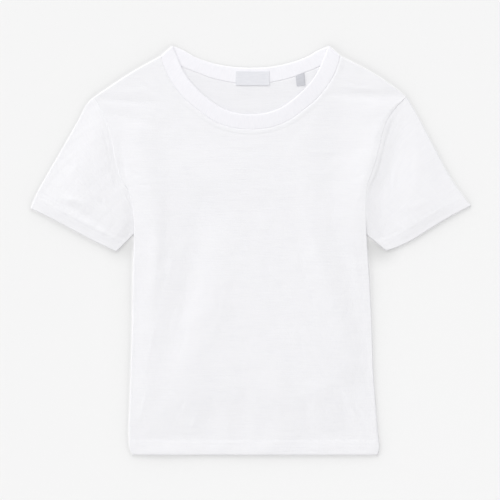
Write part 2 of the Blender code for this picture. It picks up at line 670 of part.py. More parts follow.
def band_section(seam, opening, outer, inner):
    """A section's points from the seam over the outer face to the opening's edge and back."""
    shares = (0.0, 0.5, 1 - BAND_ROUND / np.linalg.norm(opening - seam))
    faces = [[np.append(between(seam, opening, share), z) for share in shares]
             for z in (outer, inner)]
    return faces[0] + [np.append(opening, (outer + inner) / 2)] + faces[1][::-1]


def band_turn(side, angles):
    """Sections where the band turns over the shoulder, from the front down to the back."""
    half = BAND_TOP_SIDE / 2
    seam, normal = band_corner(side, FRONT_SEAM)
    opening, _ = band_corner(side, FRONT_OPENING)
    flat = np.array(band_section(seam, opening, 0.0, 0.0))
    radius = np.array([half] * 3 + [half - BAND_CLOTH / 2] + [half - BAND_CLOTH] * 3)
    sections = []
    for angle in angles:
        plan = flat[:, :2] + normal * radius[:, None] * np.sin(angle)
        sections.append(np.column_stack([plan, half + radius * np.cos(angle)]))
    return sections


def band_sections():
    """The band's sections: along the front, over one shoulder, along the back, over the other."""
    shares = steps_across(FRONT_STEPS)
    tops = between(BAND_TOP_FRONT, BAND_TOP_SIDE, abs(2 * shares - 1) ** 3)
    front = zip(band_line(FRONT_SEAM, FRONT_STEPS), band_line(FRONT_OPENING, FRONT_STEPS), tops)
    back = zip(band_line(BACK_SEAM, BACK_STEPS), band_line(BACK_OPENING, BACK_STEPS))
    angles = np.pi * np.arange(1, BAND_TURN_STEPS) / BAND_TURN_STEPS
    sections = [band_section(seam, opening, top, top - BAND_CLOTH) for seam, opening, top in front]
    sections += band_turn("right", angles)
    sections += [band_section(seam, opening, 0.0, BAND_CLOTH) for seam, opening in back][::-1]
    sections += band_turn("left", angles[::-1])
    return np.array(sections)


def build_neckband():
    """The neckband: a flattened ring whose shoulders fold from the front to the back."""
    sections = band_sections()
    faces = loop_faces(*sections.shape[:2])
    return new_piece("neckband", sections, faces, (0.94, 0.94, 0.96), 0.88)


def flat_label(name, corners, z, across, colour):
    """A label between four corners, left to right and then top to bottom, on the height z."""
    top_left, top_right, bottom_left, bottom_right = (np.array(c, float) for c in corners)
    u, v = np.linspace(0, 1, across)[None, :, None], np.linspace(0, 1, 3)[:, None, None]
    plan = between(between(top_left, top_right, u), between(bottom_left, bottom_right, u), v)
    grids = [np.dstack([plan, np.full(plan.shape[:2], level)]) for level in (z + LABEL_CLOTH, z)]
    return new_piece(name, grids, sheet_faces(*plan.shape[:2]), colour, 0.6)


def build_labels():
    """A bare neck label on the band's back, and a bare size tab that hangs from its seam."""
    left, right = LABEL_X - LABEL_HALF_WIDTH, LABEL_X + LABEL_HALF_WIDTH
    corners = [(left, LABEL_TOP), (right, LABEL_TOP), (left, LABEL_BOTTOM), (right, LABEL_BOTTOM)]
    flat_label("neck_label", corners, BAND_CLOTH + SEAM_GAP, 6, (0.82, 0.83, 0.88))
    seam = moved(band_line(BACK_SEAM, BACK_STEPS), 1.0, 1.5 * SEAM_GAP)
    top = [(x, np.interp(x, seam[:, 0], seam[:, 1])) for x in (TAB_LEFT, TAB_RIGHT)]
    corners = top + [TAB_BOTTOM_LEFT, TAB_BOTTOM_RIGHT]
    flat_label("size_tab", corners, CLOTH + SEAM_GAP, 3, (0.84, 0.85, 0.9))


def centre(pieces):
    """Hangs the pieces on an empty that puts the middle of their box on the origin."""
    points = np.array([vertex.co for piece in pieces for vertex in piece.data.vertices])
    middle = (points.min(0) + points.max(0)) / 2
    holder = bpy.data.objects.new("shirt", None)
    bpy.context.scene.collection.objects.link(holder)
    holder.location = (-middle[0], -middle[1], 0.0)
    for piece in pieces:
        piece.parent = holder


def main():
    for item in list(bpy.data.objects):
        bpy.data.objects.remove(item, do_unlink=True)
    build_back()
    build_front()
    for side in ("left", "right"):
        build_sleeve(side)
    build_neckband()
    build_labels()
    centre(list(bpy.data.objects))


main()
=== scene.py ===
"""The looks of a white slub-jersey t-shirt that is laid flat, face up.

It repeats the shirt's draft in millimetres, finer than the solids, and dresses each of them:
thin shells with creases, turned hems, seam ridges, stitches, bare labels and knit materials.
+X is the right of the shirt as seen from above, +Y points to the neck and +Z is up.
"""

from collections import namedtuple

import bpy
import numpy as np
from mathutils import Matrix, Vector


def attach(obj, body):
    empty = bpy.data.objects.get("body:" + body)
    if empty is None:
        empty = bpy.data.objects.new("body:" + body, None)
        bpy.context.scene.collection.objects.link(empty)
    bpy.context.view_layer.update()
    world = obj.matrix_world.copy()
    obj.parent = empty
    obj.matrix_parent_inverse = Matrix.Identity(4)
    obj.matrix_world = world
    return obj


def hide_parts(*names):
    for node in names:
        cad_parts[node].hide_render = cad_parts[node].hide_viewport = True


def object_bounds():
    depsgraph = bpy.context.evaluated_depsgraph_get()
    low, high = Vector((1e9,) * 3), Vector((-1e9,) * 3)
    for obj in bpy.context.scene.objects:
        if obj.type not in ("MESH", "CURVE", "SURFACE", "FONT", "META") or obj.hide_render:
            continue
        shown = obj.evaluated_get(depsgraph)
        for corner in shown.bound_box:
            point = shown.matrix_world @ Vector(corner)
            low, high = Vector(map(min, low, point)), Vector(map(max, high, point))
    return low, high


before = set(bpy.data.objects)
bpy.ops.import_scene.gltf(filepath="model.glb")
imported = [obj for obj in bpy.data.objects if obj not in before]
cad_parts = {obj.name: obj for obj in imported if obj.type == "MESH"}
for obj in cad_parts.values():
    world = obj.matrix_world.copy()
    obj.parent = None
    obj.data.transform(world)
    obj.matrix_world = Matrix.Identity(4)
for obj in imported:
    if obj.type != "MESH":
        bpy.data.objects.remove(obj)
cad_box = [list(corner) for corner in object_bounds()]

MM = 0.001
SIDES = ("left", "right")
OUTWARD = {"left": -1.0, "right": 1.0}

# Driving dimensions, which are those of the solids
HALF_LENGTH = 300.0
TIP_Y = 224.0  # where shoulder, armhole and sleeve fold meet
NECK_Y = 284.2
NECK_X = 131.1
SEAM_GAP = 0.3
ROLL = 1.7  # radius of the front's turned edge
BACK_INSET = 1.9
SEAM_TILT = 25.0  # slope of the front's edge where it lies on a sleeve
SEAM_LIP = 0.5
LIP_LEAST = 0.1
FOOT_CLEAR = 0.45  # gap under a full turn's edge, which its rounded rim fills
SOLID_CLOTH = 1.0
SLEEVE_EDGE = 2.4
CUFF_TOP = 2.15
FRONT_LEAST = 2.35
BAND_TOP_SIDE = 3.8
BAND_TOP_FRONT = 3.6
BAND_CLOTH = 1.6
BAND_WIDTH = 22.0
TUCK_TOP = 104.0  # a sleeve's upper layer goes under the front below this
DRAFT_SHIFT_Y = cad_box[0][1] / MM + HALF_LENGTH  # from the draft to the frame

# Sizes of the cloth as it shows
CLOTH = 0.8  # wall of a shell
HEM_CLOTH = 1.3  # wall of a turned-up hem, which is two layers
CUFF_CLOTH = 0.975  # wall of a turned-up cuff
HEM_DEPTH = 22.0
CUFF_DEPTH = 20.0
HEM_STEP = 0.32
HEM_BLUR = 0.8  # half the width of a hem's step
STITCH_ROWS = (21.0, 15.6)  # both rows of a body hem's stitches, from its edge
CUFF_ROWS = (19.0, 13.8)
STITCH_PITCH = 2.9
STITCH_LENGTH = 2.3
THREAD = 0.42
THREAD_HEIGHT = 0.8  # share of its width
GROOVE_WIDTH = 1.5
HEM_GROOVES = (0.32, 0.1)
CUFF_GROOVES = (0.2, 0.1)
UNDER_FACE = 0.35  # height of the cloth's face over the floor
UNDER_STITCH = 0.18  # of the stitches on it
UNDER_RELIEF = 0.35  # share of a hem's relief that shows there
UNDER_LEAST = 0.05
UNDERSIDE = 0.6  # what is below this height is on the under face
BACK_FACE = 0.98
BACK_RELIEF = 0.6
LEAST_HEIGHT = 0.02  # of any part of the shirt over the floor
ALLOWANCE = 6.5  # seam allowance pressed under the cloth beside a seam
ALLOWANCE_RISE = 0.3
SEAM_SINK = 0.25
SEAM_WIDTH = 1.3
# Small gathers: their height, their reach from the seam, pitch, drift and pitch of the drift
HEM_PUCKERS = ((0.10, 7.0, 1.35, 1.5, 17.0), (0.07, 11.0, 3.1, 2.0, 29.0))
SEAM_PUCKERS = ((0.09, 7.0, 1.9, 1.7, 23.0),)
NECK_RUN = 460.0  # length over which the gathers are laid out
ARMHOLE_RUN = 240.0
WAVES = 14
WAVE_LENGTHS = (14.0, 60.0)
WAVE_HEIGHT = 0.05
WAVE_TURN = 6.283  # a full turn, in radians
WAVE_PHASES = 6.3

# The front over the sleeves, and the sleeves beside it
FOLD_KNEE = 0.5  # softens the lowest height of the front
FOLD_GAIN = 1.15
EDGE_FADE = {"left": 17.0, "right": 27.0}
EDGE_RELIEF = 0.6  # share of the relief at the front's edge
EDGE_REACH = 10.0  # from that edge to the full relief
HEM_REACH = 8.0  # and to the full hem
REST_FLAT = 5.0  # the front is level this far from the hidden seam
REST_FADE = 25.0
COVER_MARGIN = 4.0  # folds of a sleeve start this far from the front's edge
COVER_FADE = 10.0
SLEEVE_CROWN = 2.0
CROWN_START = {"left": -5.0, "right": 24.0}  # from the front's edge
CROWN_FADE = {"left": 20.0, "right": 44.0}
CUFF_REST = 0.45  # share of the crown that is left at the cuff
BANK_DROP = {"left": 2.0, "right": 0.3}  # from the front's edge to the sleeve beside it
BANK_FADE = {"left": 16.0, "right": 24.0}
BANK_CURVE = 1.4
BANK_STEP = 0.05  # how much lower the sleeve is under that edge
BANK_UNDER = 14.0  # how far the bank goes on under the front
BANK_START_Y = -10.0  # the bank grows from here, over the next length
BANK_GROWTH = 30.0
BANK_BLUR = 1.2
SEAM_SHOWN = (1.0, 4.0)  # a sleeve's seam shows from this far from the edge, over this length
FOLLOW_FADE = 8.0  # a sleeve has the front's relief this close to its edge
FOLD_FADE = 12.0  # a sleeve gets lower this close to its folds
UPPER_FOLD_FADE = 28.0
NECK_CLEAR = 3.0  # points of a neck curve closer to its ends than this are left out
SEAM_TUCK = 1.5  # how far a sleeve's upper layer reaches under the front's edge
BAND_LIFT = 1.3  # of the band's inner edge
BAND_LIFT_FADE = (0.55, 0.98)  # shares of the way to a shoulder between which the lift fades

# Fineness
SPAN_STEPS = 12
FRONT_ROWS = (12, 172, 54, 32)
FRONT_STEPS = 142
BACK_ROWS = (10, 96, 44, 20)
BACK_STEPS = 104
HEM_MARGIN = 3.0  # how far above a hem its closer rows go on
NECK_HOLD = 4
NORMAL_PASSES = 14
TURN_STEPS = 7
UNDERCUT_STEPS = 6
UNDERCUT_TURN = 76.0
SLEEVE_ROWS = 96
CUFF_RINGS = 22
CUFF_MARGIN = 2.0
SLEEVE_COLUMNS = 62
FOLD_STEPS = 8
TUCK_RINGS = 4
BAND_FRONT_STEPS = 190
BAND_BACK_STEPS = 130
BAND_TURN_STEPS = 10
BAND_COLUMNS = 12
RIM_STEPS = 3
STITCH_SIDES = 6
NECK_STEPS = 90  # points of a line that distances are measured from
HIDDEN_STEPS = 13
SEAM_STEPS = 60
OUTLINE_STEPS = 110
SLEEVE_STEPS = 80

# ---------------------------------------- draft

def rows(kind, table):
    """A table whose columns have the names of this kind of row."""
    return [kind(*row) for row in table]


Pair = namedtuple("Pair", "place left_x left_y right_x right_y")
BODY_EDGE = rows(Pair, [
    ("hem corner", -173.5, -HALF_LENGTH, 186, -HALF_LENGTH),
    ("hem, rounded", -177, -292, 188, -293),
    ("hem stitching", -178.6, -275, 187, -272),
    ("low hip", -177.6, -233, 183.8, -233),
    ("hip", -175.9, -186, 180, -186),
    ("waist", -173.5, -117, 177.6, -117),
    ("high waist", -172.5, -47, 174.1, -47),
    ("below the sleeve", -171.3, 5, 170.8, 5),
    ("over the sleeve", -171.4, 40, 168.9, 40),
    ("tuck", -174.6, 73, 168.8, 73),
    ("end of the tuck", -181.4, 91, 171.2, 96),
])
ARMHOLE_SEAM = rows(Pair, [
    ("underarm", -149.8, 42.5, 145.4, 42.5),
    ("under the front", -168.5, 62, 160.5, 66),
    ("hidden seam", -180, 84, 166.8, 92),
    ("where it shows", -190.6, 104, 177.2, 113),
    ("lower seam", -195.6, 121, 183.2, 131),
    ("middle seam", -200.3, 141, 188.2, 150),
    ("upper seam", -204.4, 162, 193, 170),
    ("seam by the shoulder", -210.4, 184, 200, 190),
    ("seam at the shoulder", -219.6, 205, 211.8, 207.5),
    ("tip", -229.4, TIP_Y, 228.2, TIP_Y),
])
FIRST_SHOWN = 3  # the row where the seam comes out from under the front
ARMHOLE_FOOT_Y = 44.0  # the back follows the seam from here
ARMHOLE_HEAD = 14.0  # to this far below the tip
FLANK_TOP_Y = 18.0  # and the front's side up to here
SHOULDER = rows(Pair, [
    ("tip", -229.4, TIP_Y, 228.2, TIP_Y),
    ("outer shoulder", -208, 238.4, 206.5, 241),
    ("shoulder", -169, 263.4, 172, 263),
    ("neck", -NECK_X, NECK_Y, NECK_X, NECK_Y),
])
SLEEVE_FOLD = rows(Pair, [
    ("tip", -229.4, TIP_Y, 228.2, TIP_Y),
    ("below the tip", -237, 217, 233.5, 215),
    ("upper", -251.8, 190.5, 247.6, 190.5),
    ("middle", -268.6, 161, 263, 161),
    ("lower middle", -285.4, 131.8, 278.4, 131.8),
    ("lower", -302.2, 102.6, 294.6, 102.6),
    ("by the cuff", -316.6, 75.6, 312.8, 77),
    ("cuff corner", -322, 60.8, 322, 64.8),
])
CUFF = rows(Pair, [
    ("inner corner", -196.7, -2.2, 198.3, -0.9),
    ("inner quarter", -206.4, 2.3, 207, 1.6),
    ("inner middle", -235.5, 16.2, 233.5, 13.4),
    ("outer middle", -265, 32, 262.6, 31.4),
    ("outer quarter", -294.5, 47.6, 293, 49.6),
    ("outer corner", -322, 60.8, 322, 64.8),
])
UNDERARM_FOLD = rows(Pair, [
    ("underarm", -149.8, 42.5, 145.4, 42.5),
    ("comes out", -173, 21.3, 171, 21.6),
    ("cuff corner", -196.7, -2.2, 198.3, -0.9),
])

# How the front's edge turns down: its height, how low it reaches, and 1 for a full turn
Turn = namedtuple("Turn", "place y left_height right_height left_foot right_foot turn")
EDGE_TURN = rows(Turn, [
    ("hem", -300, 2.6, 2.6, 0, 0, 1),
    ("above the hem", -262, 3, 2.8, 0, 0, 1),
    ("waist", -100, 3.6, 3.2, 0, 0, 1),
    ("below the sleeve", -6, 4.4, 4.2, 0, 0, 1),
    ("over the sleeve", 17, 4.3, 4.9, 3.2, 3.3, 0.6),
    ("tuck", 60, 4.1, 5.5, 3.1, 3.8, 0),
    ("end of the tuck", 108, 3.8, 5.6, 3.1, 3.9, 0),
    ("lower seam", 130, 3.6, 5.4, 3.1, 4.1, 0),
    ("middle seam", 170, 3.4, 4.7, 2.9, 3.7, 0),
    ("upper seam", 219, 3.2, 3.6, 2.7, 3, 0),
    ("tip", 228, 3.3, 3.4, 0, 0, 1),
    ("neck", 284.2, 3.6, 3.6, 0, 0, 1),
])

# Heights of the front between its sides
Level = namedtuple("Level", "place y height")
SWELL = rows(Level, [
    ("hem", -300, 2.8),
    ("hem stitching", -276, 2.9),
    ("above the hem", -262, 3.2),
    ("low belly", -212, 4.9),
    ("belly", -130, 5.4),
    ("waist", 0, 5.1),
    ("chest", 100, 4.5),
    ("collar", 180, 3.8),
    ("shoulders", 290, 3.5),
])

# The neck curves from the middle to a shoulder
Neck = namedtuple("Neck", "half_width y")
FRONT_SEAM = rows(Neck, [
    (0, 176.5), (16, 177.3), (32.2, 180.2), (57.1, 190.5),
    (75.8, 203.9), (96.7, 221.4), (108.9, 235.9), (117, 247.4),
    (123.4, 259.8), (127.9, 271.8), (NECK_X, NECK_Y),
])
FRONT_OPENING = rows(Neck, [
    (0, 198.2), (15, 199.2), (30, 202.3), (44, 208),
    (58.6, 217.8), (73.2, 230.2), (83.6, 240.6), (91.6, 250.5),
    (98.6, 261.6), (103.4, 272), (107.8, 283), (111.6, 292.4),
    (114.6, 299),
])
BACK_SEAM = rows(Neck, [
    (0, 243.2), (29.3, 245.6), (45, 248.6), (62.5, 253.4),
    (75.5, 258.6), (89, 263.6), (104, 270.4), (118, 277.4),
    (NECK_X, NECK_Y),
])
BACK_OPENING = rows(Neck, [
    (0, 266.6), (29.3, 268), (53.5, 272.6), (72.9, 278.6),
    (85.7, 284.2), (95.5, 290.2), (106.5, 295.4), (114.6, 299),
])

# Ridges and, with negative heights, troughs along a bent line of three points. The heights are
# those at its start, middle and end, and the creases are small ones that have no name
Crease = namedtuple("Crease", "x0 y0 x1 y1 x2 y2 width start middle end")
Fold = namedtuple("Fold", ("place",) + Crease._fields)
FRONT_FOLDS = rows(Fold, [
    ("left armhole swell", -160, 172, -148, 88, -140, -30, 22, 1.7, 2.3, 0.2),
    ("left armhole trough", -193, 161, -187, 124, -177, 73, 7, -0.3, -0.9, -0.3),
    ("left side ridge", -138, 66, -137, 0, -146, -90, 10, 0.2, 1.2, 0.2),
    ("left valley", -69, 72, -94, -60, -138, -200, 18, -0.5, -1.6, -0.3),
    ("left ridge", -18, 80, -56, -76, -108, -240, 20, 0.2, 0.8, 0.3),
    ("left chest swell", -95, 112, -60, 104, -16, 112, 34, 0.9, 1, 0.4),
    ("right ridge", 76, 92, 108, -44, 156, -160, 14, 0.3, 1.6, 0.3),
    ("right valley", 114, 92, 142, -44, 170, -170, 16, -0.5, -1.4, -0.3),
    ("right armhole ridge", 200, 200, 182, 138, 168, 40, 24, 0.6, 1.3, 0.3),
    ("right chest dip", 128, 190, 128, 140, 122, 84, 24, -0.7, -1, -0.4),
    ("right shoulder crease", 118, 228, 172, 225.6, 222, 225, 7.5, -0.3, -1, -0.6),
    ("right shoulder ridge", 150, 204, 180, 200, 206, 206, 15, 0.1, 0.7, 0.3),
    ("left shoulder crease", -215, 221, -182, 218, -140, 216, 6.5, -0.6, -0.7, -0.2),
    ("left shoulder, second crease", -206, 202, -165, 188, -122, 178, 9, -0.3, -0.6, -0.2),
    ("right neck hollow", 130, 268, 136, 262, 143, 252, 8, -0.2, -0.5, -0.2),
    ("middle swell", -10, 60, 5, 0, 0, -60, 40, 0.1, 0.4, 0.1),
    ("lower middle ridge", 36, -136, 40, -206, 46, -272, 15, 0.1, 0.7, 0.7),
    ("lower middle valley", -8, -166, -10, -222, -12, -274, 15, -0.1, -0.8, -0.6),
    ("hem crease, right", 140, -214, 156, -246, 170, -276, 5, 0.2, 0.8, 0.5),
    ("low right dip", 117, -176, 156, -207, 173, -262, 19, -0.5, -1.9, -1.2),
    ("hem pucker, right", 122, -200, 138, -232, 148, -272, 9, -0.2, -0.9, -0.5),
    ("hem pucker, right middle", 78, -212, 84, -244, 88, -272, 10, -0.1, -0.8, -0.6),
    ("low right swell", 86, -188, 96, -206, 106, -236, 22, 0.2, 0.9, 0.5),
    ("hem crease, left", -104, -208, -130, -243, -152, -272, 8, 0.05, 0.15, 0.1),
    ("hem pucker, left", -122, -198, -144, -230, -162, -266, 9, -0.1, -0.25, -0.1),
    ("hem pucker, left middle", -60, -212, -58, -246, -62, -274, 14, -0.2, -1.1, -0.6),
    ("hem dip, left", -152, -276, -126, -277, -98, -275, 9, -0.3, -1, -0.3),
    ("hem dip, left middle", -84, -274, -60, -275, -36, -274, 9, -0.2, -0.7, -0.2),
    ("hem dip, right", 86, -274, 112, -275, 136, -272, 9, -0.3, -0.9, -0.3),
    ("hem mouth", -100, -302, 0, -303, 100, -302, 24, 0.1, 0.4, 0.1),
    ("hem swell, left", -152, -298, -126, -299, -96, -298, 11, 0.2, 0.8, 0.2),
    ("hem swell, middle", 6, -290, 22, -291, 38, -290, 9, 0.1, 0.4, 0.1),
])
SLEEVE_FOLDS = {"left": rows(Fold, [
    ("crown", -226, 196, -240, 132, -250, 66, 30, 0.2, 0.6, 0.4),
    ("outer crease ridge", -284, 78, -262, 73, -240, 68, 5, 0.2, 0.9, 0.3),
    ("crease trough", -282, 68, -256, 58, -222, 38, 6, -0.2, -0.8, -0.3),
    ("inner crease ridge", -264, 52, -240, 39, -212, 25, 5, 0.1, 0.7, 0.4),
]), "right": rows(Fold, [
    ("crown", 232, 186, 246, 120, 250, 60, 24, 0.2, 0.5, 0.3),
    ("crease by the cuff", 222, 58, 246, 66, 272, 80, 6, 0.1, 0.5, 0.1),
    ("outer trough", 266, 124, 276, 100, 286, 80, 10, -0.1, -0.5, -0.1),
])}

FRONT_CREASES = rows(Crease, [
    # Drags from the armholes
    (-196, 128, -172, 112, -150, 104, 3.2, -0.02, -0.25, -0.09),
    (-188, 106, -166, 96, -140, 94, 2.6, -0.02, -0.21, -0.07),
    (-184, 92, -168, 70, -158, 44, 3, 0.04, 0.29, 0.1),
    (176, 120, 160, 108, 140, 102, 3, -0.02, -0.23, -0.08),
    (172, 96, 158, 78, 150, 54, 2.8, 0.04, 0.25, 0.09),
    # Shoulders
    (-170, 252, -150, 236, -126, 226, 3.4, -0.06, -0.29, -0.1),
    (-196, 232, -166, 232, -140, 236, 2.8, 0.06, 0.23, 0.08),
    (134, 240, 164, 236, 200, 234, 3, 0.06, 0.29, 0.1),
    (126, 252, 146, 244, 168, 240, 3.4, -0.1, -0.29, -0.04),
    # Chest
    (-150, 146, -118, 140, -84, 146, 4.5, 0.05, 0.23, 0.08),
    (70, 150, 100, 142, 140, 146, 4.5, 0.08, 0.23, 0.04),
    (-40, 150, -6, 144, 30, 148, 5, -0.04, -0.17, -0.06),
    # Waist, left
    (-118, 20, -116, -20, -126, -60, 3.6, 0.08, 0.29, 0.1),
    (-98, -64, -112, -108, -120, -150, 3.2, 0.1, 0.29, 0.04),
    (-90, -96, -100, -136, -116, -176, 2.6, -0.08, -0.23, -0.06),
    (-134, -90, -146, -140, -154, -186, 3, 0.06, 0.29, 0.1),
    # Middle
    (-34, -40, -44, -92, -62, -140, 4.2, 0.08, 0.23, 0.06),
    (20, 20, 26, -30, 22, -86, 5, -0.05, -0.23, -0.08),
    (10, -110, 4, -150, 8, -190, 4, 0.05, 0.23, 0.08),
    # Waist, right
    (70, 24, 76, -24, 92, -76, 3.8, -0.08, -0.29, -0.1),
    (100, -80, 116, -126, 136, -166, 3, -0.08, -0.23, -0.08),
    (150, 16, 154, -24, 162, -66, 3, 0.08, 0.23, 0.06),
    (60, -100, 74, -144, 96, -186, 3.6, 0.08, 0.23, 0.06),
    # Low, left
    (-150, -196, -156, -222, -164, -252, 2.8, 0.08, 0.29, 0.1),
    (-92, -200, -100, -226, -116, -256, 3, -0.06, -0.29, -0.1),
    (-78, -236, -84, -254, -94, -272, 2.4, 0.06, 0.34, 0.12),
    # Low, middle
    (-36, -232, -32, -252, -36, -274, 3, 0.05, 0.32, 0.11),
    (20, -240, 24, -256, 22, -274, 2.8, -0.05, -0.3, -0.1),
    (64, -228, 66, -250, 62, -274, 3.2, 0.04, 0.3, 0.1),
    # Low, right
    (100, -214, 108, -236, 112, -258, 2.8, -0.06, -0.29, -0.1),
    (158, -210, 166, -236, 174, -262, 2.8, 0.08, 0.34, 0.12),
    (128, -196, 142, -216, 156, -232, 3, 0.08, 0.23, 0.04),
    # Drags from the neckband
    (-92, 206, -80, 190, -66, 170, 4, -0.08, -0.23, -0.04),
    (-10, 170, -6, 156, -12, 138, 4.5, 0.06, 0.17, 0.02),
    (88, 204, 82, 184, 64, 164, 4, -0.09, -0.25, -0.04),
])
SLEEVE_CREASES = {"left": rows(Crease, [
    (-262, 150, -256, 130, -258, 106, 3.4, 0.05, 0.25, 0.09),
    (-240, 160, -232, 128, -226, 96, 3.6, -0.04, -0.23, -0.08),
    (-296, 92, -284, 96, -268, 96, 2.8, 0.05, 0.23, 0.08),
    (-214, 90, -212, 66, -206, 44, 3, 0.08, 0.34, 0.12),
    (-236, 84, -222, 70, -206, 62, 2.6, -0.06, -0.29, -0.1),
    (-222, 32, -214, 22, -204, 14, 2.2, 0.08, 0.34, 0.12),
]), "right": rows(Crease, [
    (244, 170, 238, 140, 236, 106, 3.6, -0.05, -0.23, -0.08),
    (262, 140, 268, 120, 270, 96, 3, 0.05, 0.25, 0.09),
    (214, 132, 210, 104, 208, 72, 3, 0.06, 0.29, 0.1),
    (240, 90, 250, 78, 264, 74, 2.6, -0.06, -0.23, -0.08),
    (206, 48, 214, 36, 228, 30, 2.6, 0.08, 0.29, 0.1),
    (284, 96, 292, 88, 302, 86, 2.4, 0.05, 0.23, 0.08),
])}
BACK_CREASE_Y = 120.0  # the back is level below this
BACK_WAVE_HEIGHT = 0.04
BACK_CREASES = rows(Crease, [
    (-74, 236, -52, 226, -30, 224, 5, 0.08, 0.34, 0.12),
    (-18, 232, 4, 222, 30, 224, 6, -0.08, -0.23, -0.04),
    (34, 234, 56, 230, 76, 238, 5, 0.12, 0.34, 0.08),
    (-40, 212, 0, 208, 40, 213, 4, 0.06, 0.17, 0.06),
])


# ---------------------------------------- curves


def side_of(table, side):
    return np.array([[getattr(row, side + "_x"), getattr(row, side + "_y")] for row in table])


def between(a, b, share):
    return a + (b - a) * share


def ease(value):
    """0 to 1 with a level start and end."""
    value = np.clip(value, 0.0, 1.0)
    return value * value * (3 - 2 * value)


def inside(distance, depth, blur):
    """1 up to a depth from an edge and 0 beyond it, with a soft step."""
    return 1 - ease((distance - depth + blur) / (2 * blur))


def bell(distance, width):
    return np.exp(-(distance / width) ** 2)


def unit(vectors):
    return vectors / np.linalg.norm(vectors, axis=-1, keepdims=True)


def smooth_path(points, per_span=SPAN_STEPS):
    """A smooth curve through the points, as a dense polyline."""
    points = np.asarray(points, float)
    chord = np.diff(points, axis=0)
    size = np.linalg.norm(chord, axis=1, keepdims=True)
    speed = chord / size
    bend = (speed[:-1] * size[1:] + speed[1:] * size[:-1]) / (size[:-1] + size[1:])
    bend = np.vstack([speed[:1], bend, speed[-1:]])
    t = np.arange(1, per_span + 1)[:, None] / per_span
    path = [points[:1]]
    for a, b, m, n, h in zip(points[:-1], points[1:], bend[:-1], bend[1:], size):
        path.append(a * (1 + 2 * t) * (1 - t) ** 2 + b * t * t * (3 - 2 * t)
                    + h * (m * t * (1 - t) ** 2 - n * t * t * (1 - t)))
    return np.vstack(path)


def lengths_along(path):
    return np.concatenate([[0.0], np.cumsum(np.linalg.norm(np.diff(path, axis=0), axis=1))])


def along(path, distances):
    """Points of the polyline at these distances from its start."""
    total = lengths_along(path)
    return np.stack([np.interp(distances, total, column) for column in path.T], 1)


def spaced(path, shares):
    return along(path, shares * lengths_along(path)[-1])


def evenly(path, count):
    return spaced(path, np.linspace(0, 1, count))


def at_levels(path, levels):
    """Points at these heights on the sheet of a path that climbs in y."""
    return np.stack([np.interp(levels, path[:, 1], path[:, 0]), levels], 1)


def normals_of(path, outward):
    """Unit normals of a climbing path, to the right for 1 and to the left for -1."""
    tangent = unit(np.gradient(path, axis=0))
    return np.stack([tangent[:, 1], -tangent[:, 0]], 1) * outward


def moved(path, outward, distance):
    return path + normals_of(path, outward) * distance


def whole_neck(rows):
    """A neck curve from the left shoulder to the right one."""
    half = np.array(rows)
    return smooth_path(np.vstack([half[:0:-1] * [-1, 1], half]))


def crowded(count, share):
    """Shares from 0 to 1 that get closer together towards both ends."""
    even = np.linspace(0, 1, count)
    return between(even, ease(even), share)


def coons(bottom, top, left, right, across, up, hold=1):
    """A sheet between four edges, as rows from left to right. A high hold keeps the top's
    shape to the uppermost rows."""
    u, v = across[None, :, None], up[:, None, None] ** hold
    ruled = between(bottom[None], top[None], v) + between(left[:, None], right[:, None], u)
    corners = between(between(bottom[0], bottom[-1], u), between(top[0], top[-1], u), v)
    return ruled - corners


def distance_to(path, x, y):
    """Distance of each point from a polyline, and the share of its length up to there."""
    best = np.full(np.shape(x), np.inf)
    share = np.zeros(np.shape(x))
    count = len(path) - 1
    for k, (start, end) in enumerate(zip(path[:-1], path[1:])):
        step = end - start
        at = ((x - start[0]) * step[0] + (y - start[1]) * step[1]) / (step @ step)
        at = np.clip(at, 0, 1)
        gap = np.hypot(x - start[0] - at * step[0], y - start[1] - at * step[1])
        nearer = gap < best
        best = np.where(nearer, gap, best)
        share = np.where(nearer, (k + at) / count, share)
    return best, share


def fold_heights(folds, x, y):
    """The sum of the soft ridges and troughs at each point."""
    height = np.zeros_like(x)
    for fold in folds:
        line = smooth_path([(fold.x0, fold.y0), (fold.x1, fold.y1), (fold.x2, fold.y2)], 6)
        gap, share = distance_to(line, x, y)
        rise = np.interp(share, (0, 0.5, 1), (fold.start, fold.middle, fold.end))
        height += rise * bell(gap, fold.width)
    return height


def waves(x, y, seed, size=WAVE_HEIGHT):
    """A faint unevenness: level waves of several lengths and directions."""
    rng = np.random.default_rng(seed)
    height = np.zeros_like(x)
    for length, angle, phase in zip(rng.uniform(*WAVE_LENGTHS, WAVES),
                                    rng.uniform(0, np.pi, WAVES),
                                    rng.uniform(0, WAVE_PHASES, WAVES)):
        height += np.sin(WAVE_TURN * (x * np.cos(angle) + y * np.sin(angle)) / length + phase)
    return size * height / np.sqrt(WAVES / 2)


# ---------------------------------------- meshes

def put(name, data):
    """A new object of the scene with this mesh, light or camera."""
    thing = bpy.data.objects.new(name, data)
    bpy.context.scene.collection.objects.link(thing)
    return thing


def new_piece(name, points, faces, cloth_map):
    """A smooth-shaded mesh in the frame, from points of the draft."""
    points = np.asarray(points, float).reshape(-1, 3) + [0.0, DRAFT_SHIFT_Y, 0.0]
    points[:, 2] = np.maximum(points[:, 2], LEAST_HEIGHT)
    mesh = bpy.data.meshes.new(name)
    mesh.from_pydata((points * MM).tolist(), [], faces)
    mesh.update()
    mesh.shade_smooth()
    places = np.asarray(cloth_map, float).reshape(-1, 2) * MM
    corners = np.empty(len(mesh.loops), np.int32)
    mesh.loops.foreach_get("vertex_index", corners)
    layer = mesh.uv_layers.new(name="cloth")
    layer.uv.foreach_set("vector", places[corners].astype(np.float32).ravel())
    return put(name, mesh)


